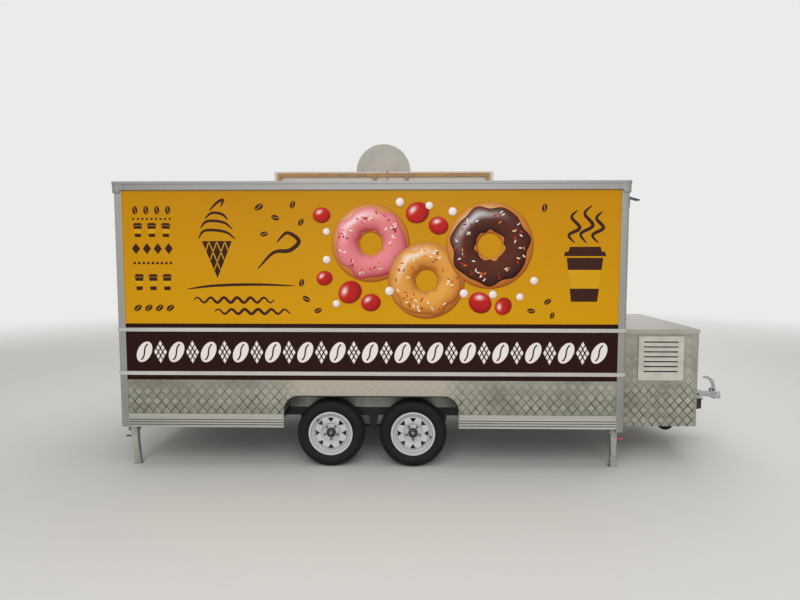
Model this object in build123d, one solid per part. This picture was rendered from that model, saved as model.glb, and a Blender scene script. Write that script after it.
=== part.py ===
from build123d import *
import math
import os

# Food trailer, in millimetres. +X points to the hitch, +Z up, and the ground is z = 0.
# The origin is on the ground under the middle of the overall box. The near side is -Y,
# the serving side is +Y.

# Body, from its side elevation
body_length = 4420
body_width = 2050
roof_top = 2508
front_post_bottom = 340
post_width = 72
post_radius = 30
post_proud = 6
flute_width = 7
flute_depth = 2
flute_places = (40, 56)
panel = 40

# Heights where the panels, bands and skins meet
floor_bottom = 500
floor_thickness = 40
sill_bottom = 366
sill_top = 455
tread_top = 788
tread_skin = 3
lower_band_bottom = 832
upper_band_bottom = 1215
band_height = 32
band_proud = 8
band_wrap = 40

# Roof edge
trim_height = 72
trim_bead_height = 22
trim_leg = 10
trim_bead = 18
cap_proud = 14
cap_reach = 96
cap_drop = 24
cap_leg = 62

# Sill extrusion
sill_web = 10
sill_groove = 8
sill_groove_depth = 4
sill_flange = 4

# Running gear
tyre_radius = 300
tyre_width = 180
tyre_inset = 32
rear_axle = 1854
axle_spacing = 731
rim_seat_radius = 178
rim_width = 152
hole_count = 8
hole_base_radius = 138
hole_tip_radius = 97
hole_base = 56
hub_radius = 33
cap_radius = 25
cap_length = 26
stud_circle = 60
stud_count = 5
stud_radius = 8
drum_radius = 103
drum_width = 60
tyre_bead = 57
tyre_side_section = (  # radius, distance in from the sidewall's face
    (186, 26),
    (214, 8),
    (240, 0),
    (268, 6),
    (288, 20),
    (297, 34),
    (300, 60),
)
rim_side_section = (  # radius, distance in from the rim's edge, outer surface then inner
    (195, 0),
    (195, 4),
    (184, 7),
    (178, 16),
    (178, 34),
    (160, 50),
    (156, 52),
    (174, 36),
    (174, 18),
    (180, 1),
)
disc_outer_section = ((31, -30), (74, -30), (92, -48), (126, -54), (144, -48), (157, -24))
disc_inner_section = ((157, -17), (141, -42), (126, -48), (95, -42), (77, -24), (31, -24))
disc_hole_depth = (-70, -30)
hub_outer = -42
hub_inner = 40
drum_outer = -24
stud_outer = -44
spindle_radius = 17.5
spindle_fit = 0.05
seat_gap = 0.3
axle_beam = 50
backplate = 4
backplate_radius = 107
spindle_reach = 40
running_gap = 5

# Leaf springs and their hangers
leaf = 8
leaf_width = 50
leaf_half_lengths = (265, 195, 125)
leaf_camber = 12
eye_radius = 13
eye_seat = 0.3
clamp_plate = 8
spring_seat = 6
clamp_plate_length = 110
u_bolt_radius = 6
u_bolt_play = 0.5
u_bolt_end = 14
nut_radius = 10
nut_height = 9
clamp_rim = 5
leaf_clip_place = 150
leaf_clip_length = 18
leaf_clip_sheet = 3
rocker_half = 100
rocker_thickness = 30
rocker_pivot = 285
hanger_cheek = 6
hanger_gap = 1
hanger_half_top = 45
hanger_half_foot = 18
pin_radius = 8

# Wheel arch, one opening for both wheels
arch_start = 1449
arch_end = 2983
arch_top = 650
arch_radius = 130
arch_depth = 300
arch_lap = 25
liner = 3

# Chassis
rail_bottom = 400
rail_width = 50
cross_width = 40
cross_height = 60
cross_places = (560, 1040, 1420, 1820, 2220, 2620, 3012, 3400, 3890)
outrigger_places = (560, 1040, 1420, 3012, 3400, 3890)
end_beam = 50

# Drawbar
beam_bottom = 305
beam_width = 50
beam_root = 3450
beam_root_offset = 500
nose_reach = 1130
nose_offset = 45
nose_plate = 8
nose_plate_margin = 12
jack_place = 815
jack_plate_length = 92
jack_plate_half = 170

# Coupling
coupling_reach = 1340
coupling_length = 260
coupling_width = 66
coupling_height = 74
ball_radius = 25
socket_wall = 8
coupling_tail = 60
clamp_length = 104
clamp_rise = 14
coupling_raise = 22
throat = 58
coupling_neck = 20
neck_inset = 4
neck_drop = 8
skirt_proud = 10
skirt_height = 6
ear_thickness = 8
ear_height = 26
ear_places = (-74, -24)
ear_gap = 28
lever_play = 0.5
lever_outer_arc = ((-28, 3), (-40, 96), (-132, 156))
lever_inner_arc = ((-54, 10), (-64, 84), (-134, 132))

# Jockey wheel
jack_tube_radius = 30
jack_stem_radius = 24
jack_tube_bottom = 280
jack_tube_length = 420
jack_lift = 70
jack_wheel_radius = 90
jack_wheel_width = 50
jack_trail = 30
jack_fork_sheet = 5
jack_pin_radius = 7
jack_cap = 10
jack_spindle = 24
jack_arm_half = 8
jack_arm = 120
jack_grip_radius = 12
jack_grip = 96
jack_collar = 36
jack_collar_radius = 44
jack_fork_room = 4
jack_crown_gap = 10
jack_stem_hidden = 60
jack_cheek_half = 14
jack_cheek_tail = 28
jack_pin_end = 4
jack_hub_radius = 22
jack_tread_radius = 64
jack_web_half = 9
jack_shoulder = 12

# Corner legs
leg_tube = 56
leg_inner = 48
leg_pivot = 330
leg_inset = 115
leg_bolt_end = 5
rear_leg_place = 70
front_leg_place = 56
rear_leg_lean = 30
leg_above_pivot = 26
leg_end = 20
leg_clear = 200
leg_sleeve = 95
leg_cheek = 6
leg_gap = 7
leg_foot = 70
leg_foot_plate = 6
leg_bracket_margin = 6
leg_pin_radius = 9

# Front box
box_inset = 310
box_length = 762
box_top = 1205
box_bottom = 309
box_sheet = 12
notch_half = 240
vent_start = 180
vent_size = (260, 100)
lid_sheet = 3
lid_fold = 40
lid_gap = 5
lid_seat = 0.4
hinge_radius = 8
hinge_seat = 0.5

# Louvre, on both cheeks of the box
louvre_width = 408
louvre_height = 404
louvre_start = 218
louvre_bottom = 738
louvre_depth = 14
louvre_border = 50
louvre_lip = 4
slot_count = 7
slot_first = 48
slot_pitch = 45
slot_height = 18
slat_rise = 8
slat_edge = 3
slat_over = 7

# Serving side
hatch_width = 2640
hatch_bottom = 1262
hatch_head = 80
hatch_gap = 5
hatch_strap = 24
frame_width = 32
frame_sheet = 3
frame_room = 18
drip_rise = 26
drip_depth = 16
drip_sheet = 3
counter_width = 2560
counter_depth = 380
counter_thickness = 22
counter_hinge_height = 1231
counter_seat = 5

# Rear door
door_width = 780
door_head = 60
door_gap = 5
handle_length = 150
hinge_heights = (760, 1460, 2160)
hinge_length = 90
hinge_leaf = 30
hinge_leaf_half = 3
handle_height = 1500
handle_radius = 7
handle_reach = 18
handle_inset = 60

# Small fittings
lamp_height = 620
lamp_size = (110, 190)
lamp_depth = 30
lamp_corner = 8
lamp_inset = 84
inlet_height = 2330
inlet_place = 130
inlet_size = (74, 84)
inlet_depth = 34
inlet_rim = 5
inlet_socket_radius = 27
inlet_socket_depth = 22
inlet_flap_length = 88
inlet_flap_thickness = 10
inlet_flap_droop = 15
inlet_hinge_radius = 6

# Roof sign
sign_length = 2580
sign_height = 350
sign_depth = 45
sign_set_back = 12
sign_tube = 40
sign_margin = 46
sign_shift = 25
sign_disc_radius = 318
sign_disc_depth = 30
sign_inner_posts = (-101, 277)

# Places worked out from the sizes above
trim_bottom = roof_top - trim_height
trim_step = roof_top - trim_bead_height
hatch_top = trim_bottom - hatch_head
door_top = trim_bottom - door_head
rear_reach = lamp_depth - post_proud
x_rear = -(body_length + coupling_reach - rear_reach) / 2
x_front = x_rear + body_length
y_side = body_width / 2
y_skin = y_side - post_proud
y_inner = y_skin - panel
x_rear_skin = x_rear + post_proud
x_front_skin = x_front - post_proud
x_rear_inner = x_rear_skin + panel
x_front_inner = x_front_skin - panel
axle_x = (x_rear + rear_axle, x_rear + rear_axle + axle_spacing)
wheel_y = y_side - tyre_inset - tyre_width / 2
spring_y = y_side - arch_depth - rail_width / 2
u_bolt_x = axle_beam / 2 + u_bolt_play + u_bolt_radius
u_bolt_y = leaf_width / 2 + u_bolt_play + u_bolt_radius
panel_split_upper = upper_band_bottom + band_height / 2
sign_top = roof_top + sign_height
sign_middle = (x_rear + x_front) / 2 + sign_shift
coupling_low = rail_bottom + nose_plate
coupling_top = coupling_low + coupling_height
ball_x = x_front + coupling_reach - ball_radius - socket_wall
jack_axis = jack_lift + jack_wheel_radius
eye_height = tyre_radius - axle_beam / 2 - spring_seat - leaf + leaf_camber
floor_top = floor_bottom + floor_thickness


def block(x, y, z):
    """A box between two limits on each axis."""
    size = [high - low for low, high in (x, y, z)]
    middle = [(high + low) / 2 for low, high in (x, y, z)]
    return Pos(*middle) * Box(*size)


def extrude_y(outline, y):
    """A closed outline of (x, z) points and arcs, pushed from y[0] to y[1]."""
    face = Plane.XZ * outline
    return Pos(0, y[1], 0) * extrude(face, y[1] - y[0])


def tube_x(radius, x, y, z):
    return Pos((x[0] + x[1]) / 2, y, z) * Rot(0, 90, 0) * Cylinder(radius, x[1] - x[0])


def tube_y(radius, x, y, z):
    return Pos(x, (y[0] + y[1]) / 2, z) * Rot(90, 0, 0) * Cylinder(radius, y[1] - y[0])


def tube_z(radius, x, y, z):
    return Pos(x, y, (z[0] + z[1]) / 2) * Cylinder(radius, z[1] - z[0])


def far_side(piece):
    """The same piece on the serving side."""
    return mirror(piece, Plane.XZ)


def both_sides(*pieces):
    return [*pieces, *(far_side(piece) for piece in pieces)]


def revolved(section):
    """A section of (radius, y) points turned about the Y axis."""
    return revolve(make_face(Polyline(*section, close=True)), Axis.Y)


def arch_outline(grow, drop):
    """The wheel arch in the side elevation, larger all round by grow."""
    x0 = x_rear + arch_start - grow
    x1 = x_rear + arch_end + grow
    top = arch_top + grow
    middle = (top + drop) / 2
    shape = Pos((x0 + x1) / 2, middle) * Rectangle(x1 - x0, top - drop)
    return fillet(shape.vertices().group_by(Axis.Y)[-1], arch_radius + grow)


# Chassis: main rails, cross members, outriggers

def main_rails():
    rail = block(
        (x_rear_inner + end_beam, x_front_inner - end_beam),
        (-spring_y - rail_width / 2, -spring_y + rail_width / 2),
        (rail_bottom, floor_bottom),
    )
    return both_sides(rail)


def cross_members():
    between = spring_y - rail_width / 2
    outside = spring_y + rail_width / 2
    low = floor_bottom - cross_height
    made = []
    for place in cross_places:
        x = (x_rear + place - cross_width / 2, x_rear + place + cross_width / 2)
        made.append(block(x, (-between, between), (low, floor_bottom)))
    for place in outrigger_places:
        x = (x_rear + place - cross_width / 2, x_rear + place + cross_width / 2)
        made += both_sides(block(x, (-y_inner, -outside), (low, floor_bottom)))
    for x in ((x_rear_inner, x_rear_inner + end_beam), (x_front_inner - end_beam, x_front_inner)):
        made.append(block(x, (-y_inner, y_inner), (rail_bottom, floor_bottom)))
    return made


def hanger(x, half_top, half_foot, foot, pin):
    """Two tapered cheeks with a pin between them, hung from a rail."""
    y_in = leaf_width / 2 + hanger_gap
    cheek = make_face(
        Polyline(
            (x - half_top, rail_bottom),
            (x + half_top, rail_bottom),
            (x + half_foot, foot),
            (x - half_foot, foot),
            close=True,
        )
    )
    out = y_in + hanger_cheek
    cheeks = extrude_y(cheek, (-out, -y_in)) + extrude_y(cheek, (y_in, out))
    top = block((x - half_top, x + half_top), (-out, out), (rail_bottom - hanger_cheek, rail_bottom))
    bolt = tube_y(pin_radius, x, (-out - hanger_cheek, out + hanger_cheek), pin)
    return Pos(0, -spring_y, 0) * (cheeks + top + bolt)


def spring_hangers():
    reach = leaf_half_lengths[0]
    foot = eye_height - hanger_half_foot
    centre = (axle_x[0] + axle_x[1]) / 2
    ends = [
        hanger(x, hanger_half_top, hanger_half_foot, foot, eye_height)
        for x in (axle_x[0] - reach, axle_x[1] + reach)
    ]
    middle = hanger(centre, hanger_half_top, hanger_half_foot, rocker_pivot - hanger_half_foot, rocker_pivot)
    return both_sides(*ends, middle)


def equalisers():
    centre = (axle_x[0] + axle_x[1]) / 2
    half = rocker_thickness / 2
    outline = Polyline(
        (centre - rocker_half, eye_height + half + eye_radius),
        (centre, rocker_pivot + half),
        (centre + rocker_half, eye_height + half + eye_radius),
        (centre + rocker_half, eye_height + eye_radius + eye_seat),
        (centre, rocker_pivot - half),
        (centre - rocker_half, eye_height + eye_radius + eye_seat),
        close=True,
    )
    beam = extrude_y(make_face(outline), (-leaf_width / 2, leaf_width / 2))
    bore = tube_y(pin_radius + spindle_fit, centre, (-leaf_width, leaf_width), rocker_pivot)
    return both_sides(Pos(0, -spring_y, 0) * (beam - bore))


def leaf_clip(x, top):
    """Strap round the upper leaves."""
    broad = leaf_width / 2 + leaf_clip_sheet
    rise = leaf_camber * (leaf_clip_place / leaf_half_lengths[0]) ** 2
    ends = (x - leaf_clip_length / 2, x + leaf_clip_length / 2)
    high = top + rise + leaf_clip_sheet
    return block(ends, (-broad, broad), (high - 2 * leaf - 2 * leaf_clip_sheet, high))


def u_bolt(x, y, plate):
    """Square-bent bolt over the axle beam, with a nut on each leg under the clamp plate."""
    crown = tyre_radius + axle_beam / 2 + u_bolt_play + u_bolt_radius
    bolt = tube_x(u_bolt_radius, (x - u_bolt_x, x + u_bolt_x), y, crown)
    for leg in (x - u_bolt_x, x + u_bolt_x):
        bolt += tube_z(u_bolt_radius, leg, y, (plate - u_bolt_end, crown + u_bolt_radius))
        nut = extrude(RegularPolygon(nut_radius, 6), nut_height)
        bolt += Pos(leg, y, plate - nut_height) * nut
    return bolt


def leaf_spring(x):
    """Leaves of falling length under the axle, the top one with a rolled eye at each end."""
    beam = tyre_radius - axle_beam / 2
    top = beam - spring_seat
    width = leaf_width / 2
    half = clamp_plate_length / 2
    pack = block((x - half, x + half), (-width, width), (top - leaf / 2, beam))
    for row, reach in enumerate(leaf_half_lengths):
        rise = leaf_camber * (reach / leaf_half_lengths[0]) ** 2
        high = top - row * leaf
        upper = ThreePointArc((x - reach, high + rise), (x, high), (x + reach, high + rise))
        lower = ThreePointArc(
            (x + reach, high + rise - leaf), (x, high - leaf), (x - reach, high + rise - leaf)
        )
        sides = [Line(upper @ 1, lower @ 0), Line(lower @ 1, upper @ 0)]
        piece = extrude_y(make_face([upper, sides[0], lower, sides[1]]), (-width, width))
        pack += piece
    reach = leaf_half_lengths[0]
    for end in (x - reach, x + reach):
        eye = tube_y(eye_radius, end, (-width, width), eye_height)
        pack = pack + eye
    for end in (x - reach, x + reach):
        pack = pack - tube_y(pin_radius + spindle_fit, end, (-leaf_width, leaf_width), eye_height)
    for end in (x - leaf_clip_place, x + leaf_clip_place):
        pack += leaf_clip(end, top)
    low = top - len(leaf_half_lengths) * leaf
    broad = u_bolt_y + u_bolt_radius + clamp_rim
    plate = block((x - half, x + half), (-broad, broad), (low - clamp_plate, low + leaf / 2))
    bolts = [u_bolt(x, y, low - clamp_plate) for y in (-u_bolt_y, u_bolt_y)]
    return Pos(0, -spring_y, 0) * (pack + plate + bolts)


def leaf_springs():
    return both_sides(*(leaf_spring(x) for x in axle_x))


def axles():
    made = []
    shoulder = wheel_y - hub_inner - running_gap
    for x in axle_x:
        half = axle_beam / 2
        beam = block((x - half, x + half), (-shoulder, shoulder), (tyre_radius - half, tyre_radius + half))
        for side in (-1, 1):
            y0, y1 = sorted((side * shoulder, side * (wheel_y + spindle_reach)))
            beam += tube_y(spindle_radius, x, (y0, y1), tyre_radius)
            y0, y1 = sorted((side * (shoulder - backplate), side * shoulder))
            beam += tube_y(backplate_radius, x, (y0, y1), tyre_radius)
        made.append(beam)
    return made


# Wheels, drawn for the near side with the outer face towards -Y, about the wheel's own centre

def tyre_shape():
    half = tyre_width / 2
    seat = rim_seat_radius + seat_gap
    near = [(r, inset - half) for r, inset in tyre_side_section]
    far = [(r, half - inset) for r, inset in reversed(tyre_side_section)]
    return revolved([(seat, -tyre_bead), *near, *far, (seat, tyre_bead)])


def wheel_shape():
    """Pressed disc with eight triangular holes, rim well, brake drum and hub as one piece."""
    half = rim_width / 2
    surfaces = len(rim_side_section) * 3 // 5
    outer = rim_side_section[:surfaces]
    inner = rim_side_section[surfaces:]
    rim = [(r, inset - half) for r, inset in outer]
    rim += [(r, half - inset) for r, inset in reversed(outer)]
    rim += [(r, half - inset) for r, inset in reversed(inner)]
    rim += [(r, inset - half) for r, inset in inner]
    wheel = revolved(rim) + revolved([*disc_outer_section, *disc_inner_section])
    triangle = make_face(
        Polyline(
            (hole_tip_radius, 0),
            (hole_base_radius, hole_base / 2),
            (hole_base_radius, -hole_base / 2),
            close=True,
        )
    )
    hole = extrude_y(triangle, disc_hole_depth)
    for k in range(hole_count):
        wheel -= Rot(0, 360 * k / hole_count, 0) * hole
    wheel += tube_y(hub_radius, 0, (hub_outer, hub_inner), 0)
    wheel += tube_y(cap_radius, 0, (hub_outer - cap_length, hub_outer), 0)
    wheel += tube_y(drum_radius, 0, (drum_outer, drum_outer + drum_width), 0)
    stud = tube_y(stud_radius, stud_circle, (stud_outer, drum_outer), 0)
    for k in range(stud_count):
        wheel += Rot(0, 90 + 360 * k / stud_count, 0) * stud
    return wheel - tube_y(spindle_radius + spindle_fit, 0, (hub_outer, hub_inner + 1), 0)


# Cabin

def floor():
    plate = block(
        (x_rear_inner, x_front_inner), (-y_inner, y_inner), (floor_bottom, floor_top)
    )
    x = (x_rear + arch_start - liner, x_rear + arch_end + liner)
    deep = y_side - arch_depth - liner
    for y in ((-y_inner - 1, -deep), (deep, y_inner + 1)):
        plate -= block(x, y, (floor_bottom - 1, floor_top + 1))
    return plate


def side_panel(z):
    x = (x_rear + post_width, x_front - post_width)
    return block(x, (-y_skin, -y_inner), z)


def upper_panel():
    return side_panel((panel_split_upper, trim_bottom))


def lower_panel():
    sheet = side_panel((sill_top, panel_split_upper))
    skin = block(
        (x_rear + post_width, x_front - post_width),
        (-y_skin - tread_skin, -y_skin),
        (sill_top, tread_top),
    )
    opening = extrude_y(arch_outline(0, sill_bottom), (-y_side - 1, -y_inner + 1))
    return sheet + skin - opening


def far_upper_panel():
    sheet = far_side(upper_panel())
    middle = (x_rear + x_front) / 2
    half = hatch_width / 2 + hatch_gap
    opening = block(
        (middle - half, middle + half), (y_inner - 1, y_side), (hatch_bottom - hatch_gap, hatch_top + hatch_gap)
    )
    low = hatch_top + hatch_gap + drip_rise
    rail = Plane.YZ * drip_section(y_skin, low, 1)
    rail = Pos(middle - half, 0, 0) * extrude(rail, 2 * half)
    return sheet - opening + rail


def drip_section(face, low, out):
    """Gutter on a wall: a flat that hugs the wall, a shelf and an upturned lip."""
    flat = Pos(face + out * drip_sheet / 2, low + drip_depth / 2) * Rectangle(drip_sheet, drip_depth)
    shelf = Pos(face + out * drip_depth / 2, low + drip_sheet / 2) * Rectangle(drip_depth, drip_sheet)
    lip = Pos(face + out * (drip_depth - drip_sheet / 2), low + drip_depth / 4) * Rectangle(
        drip_sheet, drip_depth / 2
    )
    return flat + shelf + lip


def front_wall():
    y = y_side - post_width
    return block((x_front_inner, x_front_skin), (-y, y), (sill_top, trim_bottom))


def rear_wall():
    y = y_side - post_width
    wall = block((x_rear_skin, x_rear_inner), (-y, y), (sill_top, trim_bottom))
    half = door_width / 2 + door_gap
    opening = block(
        (x_rear_skin - 1, x_rear_inner + 1), (-half, half), (floor_top, door_top + door_gap)
    )
    inside = half + frame_room
    outside = inside + frame_width
    top = door_top + door_gap + frame_room
    proud = (x_rear_skin - frame_sheet, x_rear_skin)
    for y0, y1 in ((-outside, -inside), (inside, outside)):
        wall += block(proud, (y0, y1), (sill_top, top))
    rail = Plane.XZ * drip_section(x_rear_skin, top, -1)
    return wall - opening + Pos(0, outside, 0) * extrude(rail, 2 * outside)


def roof_panel():
    return block(
        (x_rear + trim_leg, x_front - trim_leg),
        (-y_side + trim_leg, y_side - trim_leg),
        (trim_bottom, trim_step),
    )


def corner_post(bottom):
    """Near rear post: an L section with a rounded outer corner and shallow flutes."""
    w = post_width
    inner = post_proud + panel
    outline = Pos(w / 2, w / 2) * Rectangle(w, w)
    corner = outline.vertices().sort_by(lambda v: v.X + v.Y)[0]
    outline = fillet(corner, post_radius)
    outline -= Pos((inner + w) / 2, (inner + w) / 2) * Rectangle(w - inner, w - inner)
    for place in flute_places:
        outline -= Pos(place, 0) * Rectangle(flute_width, 2 * flute_depth)
        outline -= Pos(0, place) * Rectangle(2 * flute_depth, flute_width)
    post = extrude(outline, trim_bottom - bottom)
    return Pos(x_rear, -y_side, bottom) * post


def corner_posts():
    middle = Plane.YZ.offset((x_rear + x_front) / 2)
    return both_sides(corner_post(sill_bottom), mirror(corner_post(front_post_bottom), middle))


def roof_trims():
    """Two-step edge round the roof with a casting over each corner."""
    made = None
    rows = (  # proud, low, high
        (trim_leg, trim_bottom, trim_step),
        (trim_bead, trim_step, roof_top),
    )
    middle = (x_rear + x_front) / 2
    for proud, low, high in rows:
        plate = Pos(middle, 0) * RectangleRounded(
            body_length + 2 * proud, body_width + 2 * proud, post_radius + proud
        )
        ring = Pos(0, 0, low) * extrude(plate, high - low)
        made = ring if made is None else made + ring
    hollow = block(
        (x_rear + trim_leg, x_front - trim_leg),
        (-y_side + trim_leg, y_side - trim_leg),
        (trim_bottom - 1, trim_step),
    )
    lid = block(
        (x_rear + post_width, x_front - post_width),
        (-y_side + post_width, y_side - post_width),
        (trim_step - 1, roof_top + 1),
    )
    caps = Pos(middle, 0) * RectangleRounded(
        body_length + 2 * cap_proud, body_width + 2 * cap_proud, post_radius + cap_proud
    )
    inside = Pos(middle, 0) * RectangleRounded(body_length, body_width, post_radius)
    skirt = Pos(0, 0, trim_bottom - cap_drop) * extrude(caps - inside, cap_drop)
    cover = Pos(0, 0, trim_bottom) * extrude(caps, trim_step - trim_bottom) - hollow
    for reach, piece in ((cap_reach, cover), (cap_leg, skirt)):
        piece -= block(
            (x_rear + reach, x_front - reach), (-body_width, body_width), (trim_bottom - cap_drop - 1, trim_step)
        )
        piece -= block(
            (x_rear - trim_bead, x_front + trim_bead),
            (-y_side + reach, y_side - reach),
            (trim_bottom - cap_drop - 1, trim_step),
        )
        made += piece
    return made - hollow - lid


def band(bottom):
    """A flat band along the near side that turns round both posts."""
    high = bottom + band_height
    middle = (x_rear + x_front) / 2
    outer = Pos(middle, 0) * RectangleRounded(
        body_length + 2 * band_proud, body_width + 2 * band_proud, post_radius + band_proud
    )
    inner = Pos(middle, 0) * RectangleRounded(body_length, body_width, post_radius)
    ring = extrude(outer - inner, band_height)
    wrap = y_side - band_wrap - post_radius
    keep = block(
        (x_rear - 2 * band_proud, x_front + 2 * band_proud), (-y_side - 2 * band_proud, -wrap), (0, band_height)
    )
    filling = block(
        (x_rear + post_width, x_front - post_width), (-y_side, -y_skin), (0, band_height)
    )
    return Pos(0, 0, bottom) * ((ring & keep) + filling)


def side_bands():
    return both_sides(band(lower_band_bottom), band(upper_band_bottom))


def sill(x):
    """Ribbed channel section under the wall: web with three grooves, two flanges."""
    y0 = -y_side
    web = block(x, (y0, y0 + sill_web), (sill_bottom, sill_top))
    step = (sill_top - sill_bottom) / 4
    for k in range(1, 4):
        z = sill_bottom + k * step
        web -= block(
            x, (y0 - 1, y0 + sill_groove_depth), (z - sill_groove / 2, z + sill_groove / 2)
        )
    for z in (sill_bottom, sill_top - sill_flange):
        web += block(x, (y0, -y_inner), (z, z + sill_flange))
    return web


def end_sill(y, x_face, x_back):
    """The same web across an end wall, with its top flange only."""
    x0, x1 = sorted((x_face, x_face + math.copysign(sill_web, x_back - x_face)))
    web = block((x0, x1), y, (sill_bottom, sill_top))
    flange = block(sorted((x_face, x_back)), y, (sill_top - sill_flange, sill_top))
    step = (sill_top - sill_bottom) / 4
    for k in range(1, 4):
        z = sill_bottom + k * step
        cut = sill_groove_depth
        web -= block(
            (x_face - cut, x_face + cut), (y[0] - 1, y[1] + 1), (z - sill_groove / 2, z + sill_groove / 2)
        )
    return web + flange


def sills():
    rear = sill((x_rear + post_width, x_rear + arch_start))
    front = sill((x_rear + arch_end, x_front - post_width))
    post = y_side - post_width
    beside_box = end_sill((-post, -y_side + box_inset), x_front, x_front_inner)
    across_rear = end_sill((-post, post), x_rear, x_rear_inner)
    return [*both_sides(rear, front, beside_box), across_rear]


def wheel_box():
    """Sheet liner over both wheels, open below and outwards, lapped down over the rail."""
    y = (-y_inner, -y_side + arch_depth)
    outer = extrude_y(arch_outline(liner, floor_bottom), y)
    inner = extrude_y(arch_outline(0, floor_bottom - 1), (y[0] - 1, y[1] - liner))
    lap = block(
        (x_rear + arch_start, x_rear + arch_end), (y[1] - liner, y[1]), (floor_bottom - arch_lap, floor_bottom)
    )
    return outer - inner + lap


# Drawbar, coupling and jockey wheel

def drawbar_beam():
    """Near beam of the A-frame, under the rails and in to the nose."""
    x0 = x_rear + beam_root
    x1 = x_front + nose_reach
    half = beam_width / 2
    outline = make_face(
        Polyline(
            (x0, -beam_root_offset - half),
            (x_front, -beam_root_offset - half),
            (x1, -nose_offset),
            (x1, -nose_offset + half),
            (x1 - beam_width, -nose_offset + half),
            (x_front, -beam_root_offset + half),
            (x0, -beam_root_offset + half),
            close=True,
        )
    )
    return Pos(0, 0, beam_bottom) * extrude(outline, rail_bottom - beam_bottom)


def drawbar_beams():
    return both_sides(drawbar_beam())


def drawbar_plates():
    """Nose plate under the coupling and the plate that carries the jockey wheel."""
    x1 = x_front + nose_reach
    top = (rail_bottom, rail_bottom + nose_plate)
    broad = coupling_width / 2 + nose_plate_margin
    nose = block((x1 - coupling_length, x1), (-broad, broad), top)
    jack_x = x_front + jack_place
    ends = (jack_x - jack_plate_length / 2, jack_x + jack_plate_length / 2)
    jack = block(ends, (-jack_plate_half, jack_plate_half), top)
    return [nose, jack - tube_z(jack_tube_radius + seat_gap, jack_x, 0, top)]


def coupling_head():
    """Pressed head: clamp on the nose plate, raised body and domed ball socket, open below."""
    tail = ball_x + ball_radius + socket_wall - coupling_length - coupling_tail
    half = coupling_width / 2
    dome = ball_radius + socket_wall
    dome_z = coupling_top - dome
    body = block((tail, ball_x - coupling_neck), (-half, half), (coupling_low, coupling_top))
    skirt = block(
        (tail, ball_x - coupling_neck),
        (-half - skirt_proud, half + skirt_proud),
        (coupling_low, coupling_low + skirt_height),
    )
    neck = tube_z(dome, ball_x, 0, (coupling_low, dome_z))
    rim = tube_z(dome + skirt_proud / 2, ball_x - skirt_proud / 2, 0, (coupling_low, coupling_low + skirt_height))
    ball = Pos(ball_x, 0, dome_z) * Sphere(dome)
    bridge = block(
        (ball_x - 2 * coupling_neck, ball_x),
        (-dome + neck_inset, dome - neck_inset),
        (coupling_low, coupling_top - neck_drop),
    )
    clamp = block((tail, tail + clamp_length), (-half, half), (coupling_low, coupling_top + clamp_rise))
    below = block((tail, ball_x + 2 * dome), (-2 * dome, 2 * dome), (0, coupling_low))
    arch = block(
        (tail + clamp_length, ball_x - throat),
        (-2 * dome, 2 * dome),
        (coupling_low - 1, coupling_low + coupling_raise),
    )
    raised = coupling_low + coupling_raise
    flange = block(
        (tail + clamp_length, ball_x - throat),
        (-half - skirt_proud, half + skirt_proud),
        (raised, raised + skirt_height),
    )
    head = body + skirt + clamp + neck + rim + ball + bridge - below - arch + flange
    socket = tube_z(ball_radius, ball_x, 0, (coupling_low - 1, dome_z))
    cup = Pos(ball_x, 0, dome_z) * Sphere(ball_radius)
    head = head - socket - cup
    for side in (-1, 1):
        y0, y1 = sorted((side * ear_gap / 2, side * (ear_gap / 2 + ear_thickness)))
        head += block(
            [ball_x + place for place in ear_places], (y0, y1), (coupling_top - 1, coupling_top + ear_height)
        )
    return [head]


def coupling_lever():
    """Curved hand lever that rises between the ears of the head and bends back at its top."""
    outer = [(ball_x + x, coupling_top + z) for x, z in lever_outer_arc]
    inner = [(ball_x + x, coupling_top + z) for x, z in lever_inner_arc]
    back = ThreePointArc(*outer)
    front = ThreePointArc(*inner)
    sides = [Line(back @ 0, front @ 0), Line(back @ 1, front @ 1)]
    half = ear_gap / 2 - lever_play
    lever = extrude_y(make_face([back, sides[1], front, sides[0]]), (-half, half))
    end = sides[1]
    return [lever + tube_y(end.length / 2, (end @ 0.5).X, (-half, half), (end @ 0.5).Y)]


def jockey_tube():
    """Fixed outer tube through the jack plate, with its winding handle on top."""
    x = x_front + jack_place
    z = (jack_tube_bottom, jack_tube_bottom + jack_tube_length)
    tube = tube_z(jack_tube_radius, x, 0, z)
    tube -= tube_z(jack_stem_radius + spindle_fit, x, 0, (z[0], z[1] - jack_cap))
    arm = z[1] + jack_spindle
    tube += tube_z(jack_arm_half, x, 0, (z[1], arm))
    tube += block((x - jack_arm_half, x + jack_arm_half), (-jack_arm_half, jack_arm), (arm, arm + jack_cap))
    tube += tube_z(jack_grip_radius, x, jack_arm - jack_grip_radius, (arm + jack_cap, arm + jack_grip))
    low = rail_bottom + nose_plate
    collar = tube_z(jack_collar_radius, x, 0, (low, low + jack_collar))
    collar -= tube_z(jack_stem_radius + spindle_fit, x, 0, (low, low + jack_collar))
    return [tube + collar]


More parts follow.
